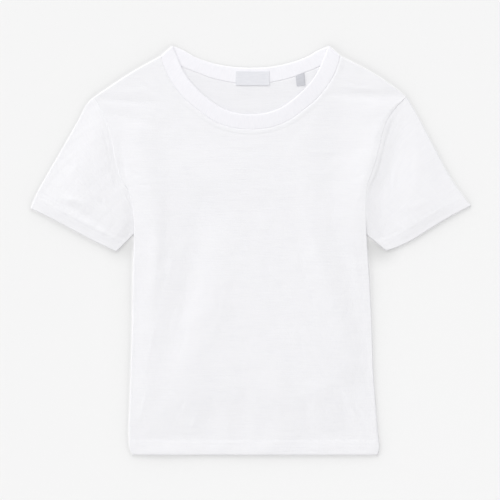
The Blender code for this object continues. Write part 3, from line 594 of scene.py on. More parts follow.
def quads(index):
    """Faces of a grid of point numbers, turned to the side of rows times columns."""
    cells = np.stack([index[:-1, :-1], index[:-1, 1:], index[1:, 1:], index[1:, :-1]], -1)
    return cells.reshape(-1, 4).tolist()


def closed(index):
    """A grid of point numbers whose columns go all round."""
    return np.hstack([index, index[:, :1]])


def round_rim(upper, lower, inner):
    """Rows of points that round an edge from its upper to its lower points, bulging outwards."""
    middle, half = (upper + lower) / 2, (upper - lower) / 2
    way = unit(upper - inner)
    reach = np.linalg.norm(half, axis=1, keepdims=True)
    angles = np.pi * np.arange(1, RIM_STEPS + 1) / (RIM_STEPS + 1)
    return [middle + half * np.cos(a) + way * reach * np.sin(a) for a in angles]


def rim_index(upper, lower, first):
    """Point numbers of a rim in closed rows, with those of its own points starting at first."""
    around = len(upper)
    own = [first + k * around + np.arange(around) for k in range(RIM_STEPS)]
    return closed(np.array([upper] + own + [lower]))


def border(grid):
    """What is all round the edge of a grid."""
    return np.concatenate([grid[0, :-1], grid[:-1, -1], grid[-1, :0:-1], grid[:0:-1, 0]])


def shell(name, upper, lower, cloth_map):
    """A thin closed sheet between two grids, with rounded edges all round."""
    rows, columns = upper.shape[:2]
    size = rows * columns
    top = np.arange(size).reshape(rows, columns)
    faces = quads(top) + quads((top + size)[:, ::-1])
    faces += quads(rim_index(border(top), border(top) + size, 2 * size)[::-1])
    one_in = np.ix_(*(np.clip(np.arange(count), 1, count - 2) for count in (rows, columns)))
    rims = round_rim(border(upper), border(lower), border(upper[one_in]))
    places = [cloth_map.reshape(-1, 2)] * 2 + [border(cloth_map)] * RIM_STEPS
    points = [upper.reshape(-1, 3), lower.reshape(-1, 3)] + rims
    return new_piece(name, np.vstack(points), faces, np.vstack(places))


def tube(name, outer, inner, cloth_map):
    """A thin open tube between two sets of rings, whose ends are rounded."""
    rings, around = outer.shape[:2]
    size = rings * around
    index = np.arange(size).reshape(rings, around)
    faces = quads(closed(index)[:, ::-1]) + quads(closed(index) + size)
    points, places = [outer.reshape(-1, 3), inner.reshape(-1, 3)], [cloth_map.reshape(-1, 2)] * 2
    count = 2 * size
    for end, next_ring, turn in ((0, 1, 1), (-1, -2, -1)):
        faces += quads(rim_index(index[end], index[end] + size, count)[:, ::turn])
        count += RIM_STEPS * around
        points += round_rim(outer[end], inner[end], outer[next_ring])
        places += [cloth_map[end]] * RIM_STEPS
    return new_piece(name, np.vstack(points), faces, np.vstack(places))


# A stitch's place along it, its width there and how deep it sinks, as shares of its sizes
STITCH_SHAPE = ((-0.5, 0.35, -0.5), (-0.36, 0.85, -0.1), (0.0, 1.0, 0.0),
                (0.36, 0.85, -0.1), (0.5, 0.35, -0.5))


def stitches(name, paths, pitch=STITCH_PITCH, length=STITCH_LENGTH, thread=THREAD):
    """Rows of sewn stitches along paths of the draft, each a short bar with rounded ends."""
    angle = 2 * np.pi * np.arange(STITCH_SIDES)[:, None] / STITCH_SIDES
    bars = []
    for path in paths:
        total = lengths_along(path)[-1]
        count = int(total / pitch)
        for centre in (np.arange(count) + 0.5) * total / count:
            start, middle, end = along(path, [centre - length / 2, centre, centre + length / 2])
            way = unit(end - start)
            side = unit(np.cross([0.0, 0.0, 1.0], way))
            up = np.cross(way, side) * (1.0 if middle[2] > UNDERSIDE else -1.0)
            ring = (side * np.cos(angle) + up * np.sin(angle) * THREAD_HEIGHT) * thread / 2
            bars.append([middle + way * length * place + up * thread * sunk + ring * width
                         for place, width, sunk in STITCH_SHAPE])
    bars = np.array(bars)
    size = len(STITCH_SHAPE) * STITCH_SIDES
    index = np.arange(size).reshape(-1, STITCH_SIDES)
    one = quads(closed(index)[:, ::-1]) + [index[0].tolist(), index[-1, ::-1].tolist()]
    faces = [[corner + k * size for corner in face] for k in range(len(bars)) for face in one]
    return new_piece(name, bars, faces, bars.reshape(-1, 3)[:, :2])


# ---------------------------------------- outlines

def seam_path(side):
    return smooth_path(side_of(ARMHOLE_SEAM, side))


def shoulder_path(side, inset=0.0):
    return moved(smooth_path(side_of(SHOULDER, side)), OUTWARD[side], -inset)


def outline_path(side):
    """The front's whole outline from the hem to the neck."""
    seam = moved(seam_path(side), OUTWARD[side], -SEAM_GAP)
    seam = seam[seam[:, 1] >= side_of(ARMHOLE_SEAM, side)[FIRST_SHOWN, 1]]
    flank = smooth_path(np.vstack([side_of(BODY_EDGE, side), seam[0]]))
    seam = seam[seam[:, 1] < TIP_Y - SEAM_GAP]
    return np.vstack([flank[:-1], seam, shoulder_path(side)])


def row_levels(rows):
    """Heights on the sheet of a panel's rows: the hem, the side, the armhole and the shoulder."""
    marks = (-HALF_LENGTH, HEM_DEPTH + HEM_MARGIN - HALF_LENGTH, TUCK_TOP, TIP_Y, NECK_Y)
    spans = [np.linspace(a, b, n, endpoint=False) for a, b, n in zip(marks, marks[1:], rows)]
    return np.concatenate(spans + [[NECK_Y - SEAM_GAP]])


def turn_at(levels, column):
    """One column of the table of the edge's turn, at these heights on the sheet."""
    ys = np.array([row.y for row in EDGE_TURN])
    values = np.array([getattr(row, column) for row in EDGE_TURN])
    place = np.clip(np.searchsorted(ys, levels, side="right") - 1, 0, len(ys) - 2)
    share = ease((levels - ys[place]) / (ys[place + 1] - ys[place]))
    return between(values[place], values[place + 1], share)


def steps_across(count):
    return crowded(count + 1, 0.35)


def gathers(distance, run, kinds):
    """Small puckers beside a seam, at places that drift along it."""
    return sum(size * bell(distance, reach) * np.sin(run / pitch + drift * np.sin(run / slow))
               for size, reach, pitch, drift, slow in kinds)


def hem_relief(distance, depth, rows, x, grooves):
    """What a turned-up hem adds to the outer face: its step, its stitch grooves and puckers."""
    groove = sum(deep * bell(distance - row, GROOVE_WIDTH) for row, deep in zip(rows, grooves))
    step = HEM_STEP * inside(distance, depth, HEM_BLUR)
    return step - groove + gathers(distance - rows[0], x, HEM_PUCKERS)


def seam_relief(distance, run):
    """What a seam adds beside it: the pressed allowance, the sunk seam and small puckers."""
    allowance = ALLOWANCE_RISE * inside(distance, ALLOWANCE, 1.0)
    return allowance - SEAM_SINK * bell(distance, SEAM_WIDTH) + gathers(distance, run, SEAM_PUCKERS)


def front_base(x, y):
    """The front's swell, which rests on the sleeves where it covers them."""
    swell = smooth_path([(level.y, level.height) for level in SWELL])
    height = np.interp(y, swell[:, 0], swell[:, 1])
    rest = SLEEVE_EDGE + SOLID_CLOTH + 2 * SEAM_GAP
    for side in SIDES:
        hidden = evenly(seam_path(side)[:FIRST_SHOWN * SPAN_STEPS + 1], HIDDEN_STEPS)
        gap, _ = distance_to(hidden, x, y)
        height = np.maximum(height, between(rest, FRONT_LEAST, ease((gap - REST_FLAT) / REST_FADE)))
    return height


def front_relief(x, y):
    """The front's folds and creases, and what the neckband's seam adds."""
    gap, share = distance_to(evenly(whole_neck(FRONT_SEAM), NECK_STEPS), x, y)
    return (FOLD_GAIN * fold_heights(FRONT_FOLDS, x, y) + fold_heights(FRONT_CREASES, x, y)
            + waves(x, y, 11) + seam_relief(gap, share * NECK_RUN))


def sleeve_bank(x, y, side, signed):
    """How a sleeve rises to the front's edge, from the signed distance outside that edge."""
    bank = np.maximum(turn_at(y, side + "_height") - SLEEVE_EDGE - BANK_DROP[side], 0.0)
    bank = bank * (1 - np.clip(signed / BANK_FADE[side], 0, 1)) ** BANK_CURVE
    bank = bank * ease((y - BANK_START_Y) / BANK_GROWTH)
    bank = bank - BANK_STEP * (1 - ease(signed / BANK_BLUR))
    beside = abs(signed) < FOLLOW_FADE
    follow = np.zeros_like(x)
    follow[beside] = EDGE_RELIEF * front_relief(x[beside], y[beside])
    bank = bank + follow * (1 - ease(abs(signed) / FOLLOW_FADE))
    return np.maximum(bank, 0.0) * ease((signed + BANK_UNDER) / BANK_UNDER)


def sleeve_surface(x, y, side, outline):
    """Outer face of a sleeve's upper layer, which stays low where the front covers it."""
    gap, _ = distance_to(outline, x, y)
    edge = np.interp(y, outline[:, 1], outline[:, 0])
    signed = np.where((x - edge) * OUTWARD[side] > 0, gap, -gap)
    clear = np.maximum(signed, 0.0)
    from_seam, share = distance_to(evenly(seam_path(side), SEAM_STEPS), x, y)
    folds = fold_heights(SLEEVE_FOLDS[side] + SLEEVE_CREASES[side], x, y) + waves(x, y, 23)
    folds = folds * ease((clear - COVER_MARGIN) / COVER_FADE)
    shown = ease((clear - SEAM_SHOWN[0]) / SEAM_SHOWN[1])
    relief = seam_relief(from_seam, share * ARMHOLE_RUN) * shown
    crown = SLEEVE_CROWN * ease((clear - CROWN_START[side]) / CROWN_FADE[side])
    return SLEEVE_EDGE + sleeve_bank(x, y, side, signed) + crown + folds + relief


# ---------------------------------------- cloth pieces

def turned_edge(outline, normal, height, foot, turn, wall):
    """Where the turned edge starts, and the columns of points on its outer and inner faces."""
    tilt = np.radians(between(SEAM_TILT, 90.0, turn))
    drop = np.maximum(between(SEAM_LIP, height - ROLL - foot - FOOT_CLEAR, turn), LIP_LEAST)
    start = outline - normal * (ROLL * np.sin(tilt) + drop * np.cos(tilt))[:, None]
    faces = []
    for inset in (0.0, wall):
        radius = ROLL - inset
        columns = []
        for step in range(1, TURN_STEPS + 1):
            angle = tilt * step / TURN_STEPS
            place = start + normal * (radius * np.sin(angle))[:, None]
            columns.append(np.column_stack([place, height - ROLL + radius * np.cos(angle)]))
        end = columns[-1]
        for step in range(1, UNDERCUT_STEPS + 1):
            share = step / UNDERCUT_STEPS
            angle = np.radians(UNDERCUT_TURN) * share
            out = drop * np.cos(tilt) * share - turn * radius * (1 - np.cos(angle))
            low = np.maximum(drop - inset * turn, LIP_LEAST) * between(share, np.sin(angle), turn)
            columns.append(end + np.column_stack([normal * out[:, None], -low * np.sin(tilt)]))
        faces.append(columns)
    return start, faces[0], faces[1]


def neck_line(rows, inset, start, end, across):
    """A line along a neck curve between two points that lie beside its ends."""
    path = moved(whole_neck(rows), 1.0, inset)
    near = np.minimum(np.linalg.norm(path - start, axis=1), np.linalg.norm(path - end, axis=1))
    return spaced(np.vstack([start, path[near > NECK_CLEAR], end]), across)


def panel_plan(left, right, seam, seam_inset, steps, hem_inset):
    """A panel's points on the sheet, in rows from the hem to the neckband's seam."""
    across = steps_across(steps)
    neck = neck_line(seam, seam_inset, left[-1], right[-1], across)
    hem = between(left[0], right[0], across[:, None])
    climb = (left[:, 1] + right[:, 1]) / 2
    up = (climb - climb[0]) / (climb[-1] - climb[0])
    plan = coons(hem, neck, left, right, across, up, NECK_HOLD)
    plan[..., 1] += hem_inset * (1 - ease((plan[..., 1] + HALF_LENGTH) / HEM_DEPTH))
    return plan


def front_edge(side, levels):
    """The front's turned edge on one side, and its height without the creases."""
    outline = at_levels(outline_path(side), levels)
    normal = normals_of(outline, OUTWARD[side])
    normal[:FRONT_ROWS[0]] = (OUTWARD[side], 0.0)
    for _ in range(NORMAL_PASSES):
        normal[1:-1] = (normal[:-2] + 2 * normal[1:-1] + normal[2:]) / 4
    height, foot, turn = (turn_at(levels, name) for name in (side + "_height", side + "_foot", "turn"))
    crease = front_relief(outline[:, 0], outline[:, 1]) * EDGE_RELIEF
    return turned_edge(outline, unit(normal), height + crease, foot, turn, CLOTH), height


def make_front():
    """The front panel, whose sides and shoulders turn down, with its outer grid and its rows."""
    levels = row_levels(FRONT_ROWS)
    (left, right), heights = zip(*(front_edge(side, levels) for side in SIDES))
    plan = panel_plan(left[0], right[0], FRONT_SEAM, CLOTH / 2, FRONT_STEPS, HEM_CLOTH / 2)
    x, y = plan[..., 0], plan[..., 1]
    top = front_base(x, y)
    relief = front_relief(x, y)
    hem = hem_relief(y + HALF_LENGTH, HEM_DEPTH, STITCH_ROWS, x, HEM_GROOVES)
    wall = np.where(y + HALF_LENGTH < HEM_DEPTH, HEM_CLOTH, CLOTH)
    for edge, height, side, column in zip((left, right), heights, SIDES, (0, -1)):
        gap = np.linalg.norm(plan - edge[0][:, None], axis=-1)
        top = top + (height - top[:, column])[:, None] * bell(gap, EDGE_FADE[side])
        relief = relief * between(EDGE_RELIEF, 1.0, ease(gap / EDGE_REACH))
        hem = hem * ease(gap / HEM_REACH)
        wall = between(CLOTH, wall, ease(gap / HEM_REACH))
    top = top + relief
    knee = FRONT_LEAST + FOLD_KNEE
    sunk = knee - FOLD_KNEE * (1 - np.exp(np.minimum(top - knee, 0.0) / FOLD_KNEE))
    top = np.where(top > knee, top, sunk) + hem
    grids = []
    for face, z in ((1, top), (2, top - wall)):
        middle = np.swapaxes(np.stack([x, y, z], -1), 0, 1)
        grids.append(np.stack(left[face][::-1] + list(middle) + right[face], 1))
    return shell("cloth_front", *grids, grids[0][..., :2].copy()), grids[0], levels


def back_outline(side, levels):
    """The back's outline: inside the front's sides, round the armhole, under the shoulder."""
    path = outline_path(side)
    hidden = moved(seam_path(side), OUTWARD[side], -SEAM_GAP)
    hidden = hidden[(hidden[:, 1] > ARMHOLE_FOOT_Y) & (hidden[:, 1] < TIP_Y - ARMHOLE_HEAD)]
    flank = moved(path[path[:, 1] < FLANK_TOP_Y], OUTWARD[side], -BACK_INSET)
    shoulder = shoulder_path(side, BACK_INSET)
    shoulder = shoulder[shoulder[:, 1] > TIP_Y + 1.0]
    underarm = side_of(UNDERARM_FOLD, side)[0] - [OUTWARD[side] * 2.0, 2.5]
    whole = np.vstack([flank, underarm, hidden, shoulder])
    return at_levels(whole[np.argsort(whole[:, 1], kind="stable")], levels)


def under_face(relief):
    """Height of the face that lies on the floor, where a hem's relief shows faintly."""
    return np.clip(UNDER_FACE - UNDER_RELIEF * relief, UNDER_LEAST, UNDERSIDE)


def make_back():
    """The back panel: flat below, with its hem, and faintly creased inside the neck."""
    levels = row_levels(BACK_ROWS)
    left, right = (back_outline(side, levels) for side in SIDES)
    plan = panel_plan(left, right, BACK_SEAM, SEAM_GAP, BACK_STEPS, CLOTH / 2)
    x, y = plan[..., 0], plan[..., 1]
    hem = hem_relief(y + HALF_LENGTH, HEM_DEPTH, STITCH_ROWS, x, HEM_GROOVES)
    creases = fold_heights(BACK_CREASES, x, y) + waves(x, y, 31, BACK_WAVE_HEIGHT)
    creases = creases * ease((y - BACK_CREASE_Y) / 40.0)
    upper = np.stack([x, y, BACK_FACE + creases * BACK_RELIEF], -1)
    lower = np.stack([x, y, under_face(hem)], -1)
    return shell("cloth_back", upper, lower, plan.copy()), lower, levels


def sleeve_rows(side):
    """Plan curves across a sleeve from its underarm fold to its upper fold, armhole to cuff."""
    seam, fold, cuff, under = (smooth_path(side_of(table, side)) for table in
                               (ARMHOLE_SEAM, SLEEVE_FOLD, CUFF, UNDERARM_FOLD))
    shares = np.linspace(0, 1, SLEEVE_STEPS)
    cuff_line = spaced(cuff, shares)
    chord = unit(cuff[-1] - cuff[0])
    square = np.array([-chord[1], chord[0]]) * OUTWARD[side]

    def back_from_cuff(distance):
        ends = []
        for edge in (under, fold):
            slant = unit(edge[-4] - edge[-1]) @ square
            ends.append(along(edge[::-1], [distance / slant])[0] - edge[-1])
        return cuff_line + between(ends[0], ends[1], shares[:, None])

    limit = back_from_cuff(CUFF_DEPTH + CUFF_MARGIN)
    sides = []
    for edge, end in ((under, limit[0]), (fold, limit[-1])):
        gap = np.linalg.norm(edge - end, axis=1)
        sides.append(evenly(np.vstack([edge[:gap.argmin()], end]), SLEEVE_ROWS))
    up = np.linspace(0, 1, SLEEVE_ROWS)
    rows = coons(spaced(seam, shares), limit, sides[0], sides[1], shares, up)
    near = np.linspace(CUFF_DEPTH + CUFF_MARGIN, HEM_CLOTH / 2, CUFF_RINGS + 1)[1:]
    rows = list(rows) + [back_from_cuff(distance) for distance in near]
    return rows, np.concatenate([np.full(SLEEVE_ROWS, CUFF_DEPTH + CUFF_MARGIN), near])


def sleeve_ring(row, from_cuff, surface):
    """Outer and inner points of one ring: over the top, a fold, under and a fold."""
    radius = SLEEVE_EDGE / 2
    in_hem = inside(from_cuff, CUFF_DEPTH, HEM_BLUR)
    wall = between(CLOTH, CUFF_CLOTH, in_hem)
    length = lengths_along(row)[-1]
    place = along(row, radius + (length - 2 * radius) * np.linspace(0, 1, SLEEVE_COLUMNS))
    reach = lengths_along(place)
    beyond = reach[-1] - reach
    from_fold = ease(np.minimum(reach, beyond) / 6.0)
    middle = (1 - bell(reach, FOLD_FADE)) * (1 - bell(beyond, UPPER_FOLD_FADE))
    relief = hem_relief(from_cuff, CUFF_DEPTH, CUFF_ROWS, reach, CUFF_GROOVES) * from_fold
    flat = between(CUFF_REST, 1.0, ease((from_cuff - 2.0) / CUFF_DEPTH))
    top = SLEEVE_EDGE + (surface(place[:, 0], place[:, 1]) - SLEEVE_EDGE) * middle * flat
    top = top - (SLEEVE_EDGE - CUFF_TOP) * (1 - ease(from_cuff / CUFF_DEPTH)) * middle
    top = top + HEM_STEP * in_hem * 0.5 * (1 - from_fold) + relief
    floor = under_face(relief)
    angle = np.pi * np.arange(1, FOLD_STEPS)[:, None] / FOLD_STEPS
    rings = []
    for inset in (0.0, wall):
        upper = np.column_stack([place, top - inset])
        lower = np.column_stack([place, floor + inset])
        bulge = np.maximum(radius - inset, 0.25)
        turns = []
        for end, tip in ((-1, row[-1]), (0, row[0])):
            high, low = upper[end, 2], lower[end, 2]
            turns.append(np.hstack([place[end] + unit(tip - place[end]) * bulge * np.sin(angle),
                                    (high + low) / 2 + (high - low) / 2 * np.cos(angle)]))
        rings.append(np.vstack([upper, turns[0], lower[::-1], turns[1][::-1]]))
    return rings


def make_sleeve(side):
    """A sleeve: a flattened tube from the armhole's seam to the cuff."""
    outline = at_levels(outline_path(side), np.linspace(-20, NECK_Y, OUTLINE_STEPS))
    rows, from_cuff = sleeve_rows(side)
    pairs = [sleeve_ring(row, distance, lambda x, y: sleeve_surface(x, y, side, outline))
             for row, distance in zip(rows, from_cuff)]
    outer, inner = (np.array(rings) for rings in zip(*pairs))
    way = unit(outer[0, :SLEEVE_COLUMNS, :2] - outer[TUCK_RINGS, :SLEEVE_COLUMNS, :2])
    for layer in (outer, inner):
        for ring in range(TUCK_RINGS):
            layer[ring, :SLEEVE_COLUMNS, :2] += way * SEAM_TUCK * (1 - ring / TUCK_RINGS)
    if side == "left":
        outer, inner = outer[:, ::-1], inner[:, ::-1]
    around = lengths_along(outer[-1])
    down = lengths_along(outer.mean(1))
    cloth_map = np.stack(np.broadcast_arrays(around[None, :], down[:, None]), -1)
    return tube("cloth_sleeve_" + side, outer, inner, cloth_map), outer, from_cuff


def band_corner(side, rows):
    """Where the band's curve meets its turn at a shoulder, and the way that it turns."""
    path = shoulder_path(side)
    way = unit(path[-1] - path[-8])
    normal = np.array([way[1], -way[0]]) * OUTWARD[side]
    return np.array(rows[-1]) * [OUTWARD[side], 1.0] - normal * BAND_TOP_SIDE / 2, normal


def band_line(rows, steps):
    """Stations of one of the band's curves from the left shoulder to the right one."""
    first, last = (band_corner(side, rows)[0] for side in SIDES)
    return neck_line(rows, 0.0, first, last, steps_across(steps))


def band_profile():
    """The band's section: shares of its width, and heights as shares of its half thickness."""
    crown = 0.72 + 0.28 * np.sin(np.pi * np.linspace(0, 1, BAND_COLUMNS + 1)) ** 0.5
    crown[0] = 0.7
    crown[-1] = 0.45
    outer = list(zip(crowded(BAND_COLUMNS + 1, 0.6), crown))
    under = [(share, -high) for share, high in outer[::-1]]
    return np.array(outer + [(1.0 + 0.25 / BAND_WIDTH, 0.0)] + under + [(-0.1 / BAND_WIDTH, 0.0)])


def make_neckband():
    """The neckband: a folded strip, sewn to the neck, that turns over at the shoulders."""
    side_share = abs(2 * steps_across(BAND_FRONT_STEPS) - 1)
    top = between(BAND_TOP_FRONT, BAND_TOP_SIDE, side_share ** 3)
    level, end = BAND_LIFT_FADE
    lift = BAND_LIFT * (1 - ease((side_share - level) / (end - level)))
    profile = band_profile()
    half = BAND_CLOTH / 2

    def section(seam, opening, middle, tilt, flip):
        plan = seam + (opening - seam) * profile[:, :1]
        return np.column_stack([plan, middle + tilt * profile[:, 0] + half * profile[:, 1] * flip])

    def turn(side):
        """Sections over the edge at a shoulder, from the front to the back."""
        seam, normal = band_corner(side, FRONT_SEAM)
        plan = seam + (band_corner(side, FRONT_OPENING)[0] - seam) * profile[:, :1]
        radius = BAND_TOP_SIDE / 2 - half + half * profile[:, 1]
        return [np.column_stack([plan + normal * (radius * np.sin(angle))[:, None],
                                 BAND_TOP_SIDE / 2 + radius * np.cos(angle)])
                for angle in np.pi * np.arange(1, BAND_TURN_STEPS) / BAND_TURN_STEPS]

    front = zip(band_line(FRONT_SEAM, BAND_FRONT_STEPS), band_line(FRONT_OPENING, BAND_FRONT_STEPS),
                top - half, lift)
    back = zip(band_line(BACK_SEAM, BAND_BACK_STEPS), band_line(BACK_OPENING, BAND_BACK_STEPS))
    sections = [section(*station, 1.0) for station in front] + turn("right")
    sections += [section(*station, half, 0.0, -1.0) for station in back][::-1] + turn("left")[::-1]
    sections = np.array(sections)
    index = closed(np.arange(sections.shape[0] * sections.shape[1]).reshape(sections.shape[:2]))
    length = lengths_along(sections[:, 0])
    across = profile[:, 0] * BAND_WIDTH
    cloth_map = np.stack(np.broadcast_arrays(length[:, None], across[None, :]), -1)
    return new_piece("cloth_neckband", sections, quads(np.vstack([index, index[:1]])), cloth_map)


# ---------------------------------------- labels

LABEL_X = 2.9
LABEL_HALF_WIDTH = 24.5
LABEL_TOP = 261.6
LABEL_BOTTOM = 241.2
LABEL_BASE = 1.95
LABEL_CLOTH = 0.55
LABEL_END = 3.2  # what is turned in at each end
LABEL_SEAM = 1.6  # from each end to the stitches
LABEL_GRID = (60, 26)
LABEL_STITCHES = {"pitch": 2.2, "length": 1.6, "thread": 0.32}
TAB_TOP = ((66.0, 254.6), (78.4, 259.4))
TAB_BOTTOM = ((67.4, 240.4), (79.4, 241.6))
TAB_BASE = 1.35
TAB_LAYER = 0.35
TAB_GAP = 0.2  # between its layers
TAB_BULGE = 0.2
TAB_LENGTH = 15.0
TAB_GRID = (12, 22)
TAB_BEND_STEPS = 8


def make_label():
    """A bare woven label with turned-in ends, a little wavy, on the inside of the neckband."""
    u, v = np.meshgrid(np.linspace(-1, 1, LABEL_GRID[0]), np.linspace(0, 1, LABEL_GRID[1]))
    x = LABEL_X + LABEL_HALF_WIDTH * u * (1 - 0.004 * np.sin(3 * v))
    y = between(LABEL_TOP, LABEL_BOTTOM, v)
    turned = HEM_STEP * 0.55 * (1 - ease((LABEL_HALF_WIDTH * (1 - abs(u)) - LABEL_END) / 0.8))
    wave = 0.12 * np.sin(u * 5.0 + 0.6) * np.sin(v * 3.0 + 0.4)
    upper = np.stack([x, y, LABEL_BASE + LABEL_CLOTH + turned + wave], -1)[::-1]
    lower = np.stack([x, y, np.full_like(x, LABEL_BASE)], -1)[::-1]
    label = shell("woven_label", upper, lower, upper[..., :2].copy())
    ys = np.linspace(LABEL_BOTTOM + 1.0, LABEL_TOP - 1.0, 30)
    ends = []
    for way in OUTWARD.values():
        place = LABEL_X + way * (LABEL_HALF_WIDTH - LABEL_SEAM)
        column = np.abs(upper[0, :, 0] - place).argmin()
        zs = np.interp(ys, upper[:, column, 1], upper[:, column, 2])
        ends.append(np.column_stack([np.full_like(ys, place), ys, zs]))
    return label, stitches("label_stitches", ends, **LABEL_STITCHES)


def make_tab():
    """A bare tab of soft tape, folded in two, that comes out below the neckband's seam."""
    columns, steps = TAB_GRID
    down = np.linspace(0, 1, steps)
    bend = np.linspace(0, np.pi, TAB_BEND_STEPS + 1)[1:-1]
    strip = [(d, TAB_BASE + 2 * TAB_LAYER + TAB_GAP + TAB_BULGE * np.sin(2.6 * d)) for d in down]
    reach = (strip[-1][1] - TAB_BASE) / 2
    middle = TAB_BASE + TAB_LAYER / 2 + reach
    strip += [(1 + reach * np.sin(a) / TAB_LENGTH, middle + reach * np.cos(a)) for a in bend]
    strip += [(d, TAB_BASE + TAB_LAYER) for d in down[::-1]]
    shares, heights = np.array(strip).T[..., None]
    u = np.linspace(0, 1, columns)[:, None]
    top, bottom = (between(*np.array(ends), u) for ends in (TAB_TOP, TAB_BOTTOM))
    plan = between(top, bottom, shares[..., None])
    outer = np.dstack([plan, heights * np.ones(columns)])
    normal = unit(np.cross(np.gradient(outer, axis=0), np.gradient(outer, axis=1)))
    inner = outer - normal * np.sign(normal[0, 0, 2]) * TAB_LAYER
    travel = lengths_along(outer[:, 0])
    cloth_map = np.stack(np.broadcast_arrays(outer[:1, :, 0], travel[:, None]), -1)
    return shell("folded_tab", outer[:, ::-1], inner[:, ::-1], cloth_map[:, ::-1])


# ---------------------------------------- materials

TURN = 2 * np.pi
# The light and the dark tone of each cloth
WHITE = ((0.853, 0.851, 0.872), (0.833, 0.831, 0.856))
# The back's tones are darker than the front's: painted shade for the inside of the back, seen through
# the neck under the front and the band
BACK_SHADED_TONES = ((0.838, 0.836, 0.858), (0.820, 0.818, 0.843))
RIB = ((0.857, 0.851, 0.884), (0.835, 0.831, 0.866))
SEWING = ((0.88, 0.88, 0.90), (0.80, 0.80, 0.82))
LABEL_TAPE = ((0.76, 0.765, 0.80), (0.73, 0.735, 0.775))
TAB_TAPE = ((0.58, 0.585, 0.62), (0.55, 0.555, 0.595))
# Sizes of the knit and the weave, in metres
WALE = 0.00095
COURSE = 0.00075
RIB_PITCH = 0.0017
TAPE_PITCH = 0.00045


def feed(tree, node, inputs):
    """Sets a node's inputs to numbers and colours, or links them to other nodes' sockets."""
    for name, value in inputs.items():
        if isinstance(value, bpy.types.NodeSocket):
            tree.links.new(value, node.inputs[name])
        else:
            node.inputs[name].default_value = value


def added(tree, kind, inputs, operation=None):
    """A new shader node."""
    node = tree.nodes.new("ShaderNode" + kind)
    if operation:
        node.operation = operation
    feed(tree, node, inputs)
    return node


def maths(tree, operation, a, b=0.0):
    return added(tree, "Math", {0: a, 1: b}, operation).outputs[0]


def mixed(tree, a, share, b, other_share):
    """The sum of two values, each times its share."""
    parts = (maths(tree, "MULTIPLY", *pair) for pair in ((a, share), (b, other_share)))
    return maths(tree, "ADD", *parts)


def rippled(tree, value, pitch, operation="SINE"):
    return maths(tree, operation, maths(tree, "MULTIPLY", value, TURN / pitch))


def stretched(tree, place, scale):
    return added(tree, "Mapping", {"Vector": place, "Scale": scale}).outputs["Vector"]


def noise(tree, place, scale, detail=2.0, roughness=0.55):
    """A cloudy pattern, as fine along x and y as these two scales say."""
    return added(tree, "TexNoise", {"Vector": stretched(tree, place, (*scale, 1.0)), "Scale": 1.0,
                                    "Detail": detail, "Roughness": roughness}).outputs["Fac"]


def axes_of(tree, place):
    parts = added(tree, "SeparateXYZ", {"Vector": place})
    return parts.outputs["X"], parts.outputs["Y"]


def coloured(tree, value, stops):
    """A colour ramp."""
    ramp = added(tree, "ValToRGB", {"Fac": value})
    elements = ramp.color_ramp.elements
    while len(elements) < len(stops):
        elements.new(0.5)
    for element, (place, colour) in zip(elements, stops):
        element.position = place
        element.color = (*colour, 1.0)
    return ramp.outputs["Color"]


def brighter(colour, share):
    return tuple(value * share for value in colour)


def bump(tree, height, distance, strength, **before):
    """A bump, over the one before it where there is one."""
    inputs = {"Distance": distance, "Strength": strength, "Height": height, **before}
    return added(tree, "Bump", inputs).outputs["Normal"]


def new_material(name):
    material = bpy.data.materials.new(name)
    material.use_nodes = True
    return material, material.node_tree, material.node_tree.nodes["Principled BSDF"]


def cloth_material(name, sheen=0.12, roughness=0.92):
    """A material with its tree, its shader and the place on the cloth in metres."""
    material, tree, shader = new_material(name)
    feed(tree, shader, {"Roughness": roughness, "Specular IOR Level": 0.25,
                        "Sheen Weight": sheen, "Sheen Roughness": 0.6})
    place = tree.nodes.new("ShaderNodeUVMap")
    place.uv_map = "cloth"
    return material, tree, shader, place.outputs["UV"]


def knit_height(tree, place):
    """The small v-shaped stitches of jersey: columns of slanted loops."""
    x, y = axes_of(tree, place)
    slant = maths(tree, "MULTIPLY", maths(tree, "PINGPONG", x, WALE / 2), 1.2)
    loops = rippled(tree, maths(tree, "ADD", y, slant), COURSE)
    return mixed(tree, loops, 0.6, rippled(tree, x, WALE / 2, "COSINE"), -0.5)


def jersey(name, light, shade):
    """White slub jersey: uneven yarn that runs across in short thick and thin streaks."""
    material, tree, shader, place = cloth_material(name)
    streak = noise(tree, place, (60.0, 900.0))
    slub = noise(tree, place, (28.0, 420.0), 3.0, 0.6)
    yarn = mixed(tree, streak, 0.45, slub, 0.55)
    tone = mixed(tree, yarn, 0.75, noise(tree, place, (22.0, 22.0)), 0.25)
    colour = coloured(tree, tone, [(0.36, shade), (0.50, light), (0.66, brighter(light, 1.012))])
    fine = bump(tree, knit_height(tree, place), 0.00006, 0.8)
    feed(tree, shader, {"Base Color": colour, "Normal": bump(tree, yarn, 0.0005, 0.55, Normal=fine)})
    return material


def rib(name, light, shade):
    """The neckband's close rib, which runs across the band."""
    material, tree, shader, place = cloth_material(name)
    streak = noise(tree, place, (500.0, 90.0))
    height = mixed(tree, rippled(tree, axes_of(tree, place)[0], RIB_PITCH), 0.22, streak, 1.0)
    colour = coloured(tree, streak, [(0.3, shade), (0.55, light), (0.75, brighter(light, 1.01))])
    feed(tree, shader, {"Base Color": colour, "Normal": bump(tree, height, 0.0003, 0.7)})
    return material


def sewing_thread(name, light, shade):
    material, tree, shader, place = cloth_material(name, 0.05, 0.7)
    twist = noise(tree, place, (900.0, 900.0), 1.0)
    feed(tree, shader, {"Base Color": coloured(tree, twist, [(0.3, shade), (0.7, light)])})
    return material


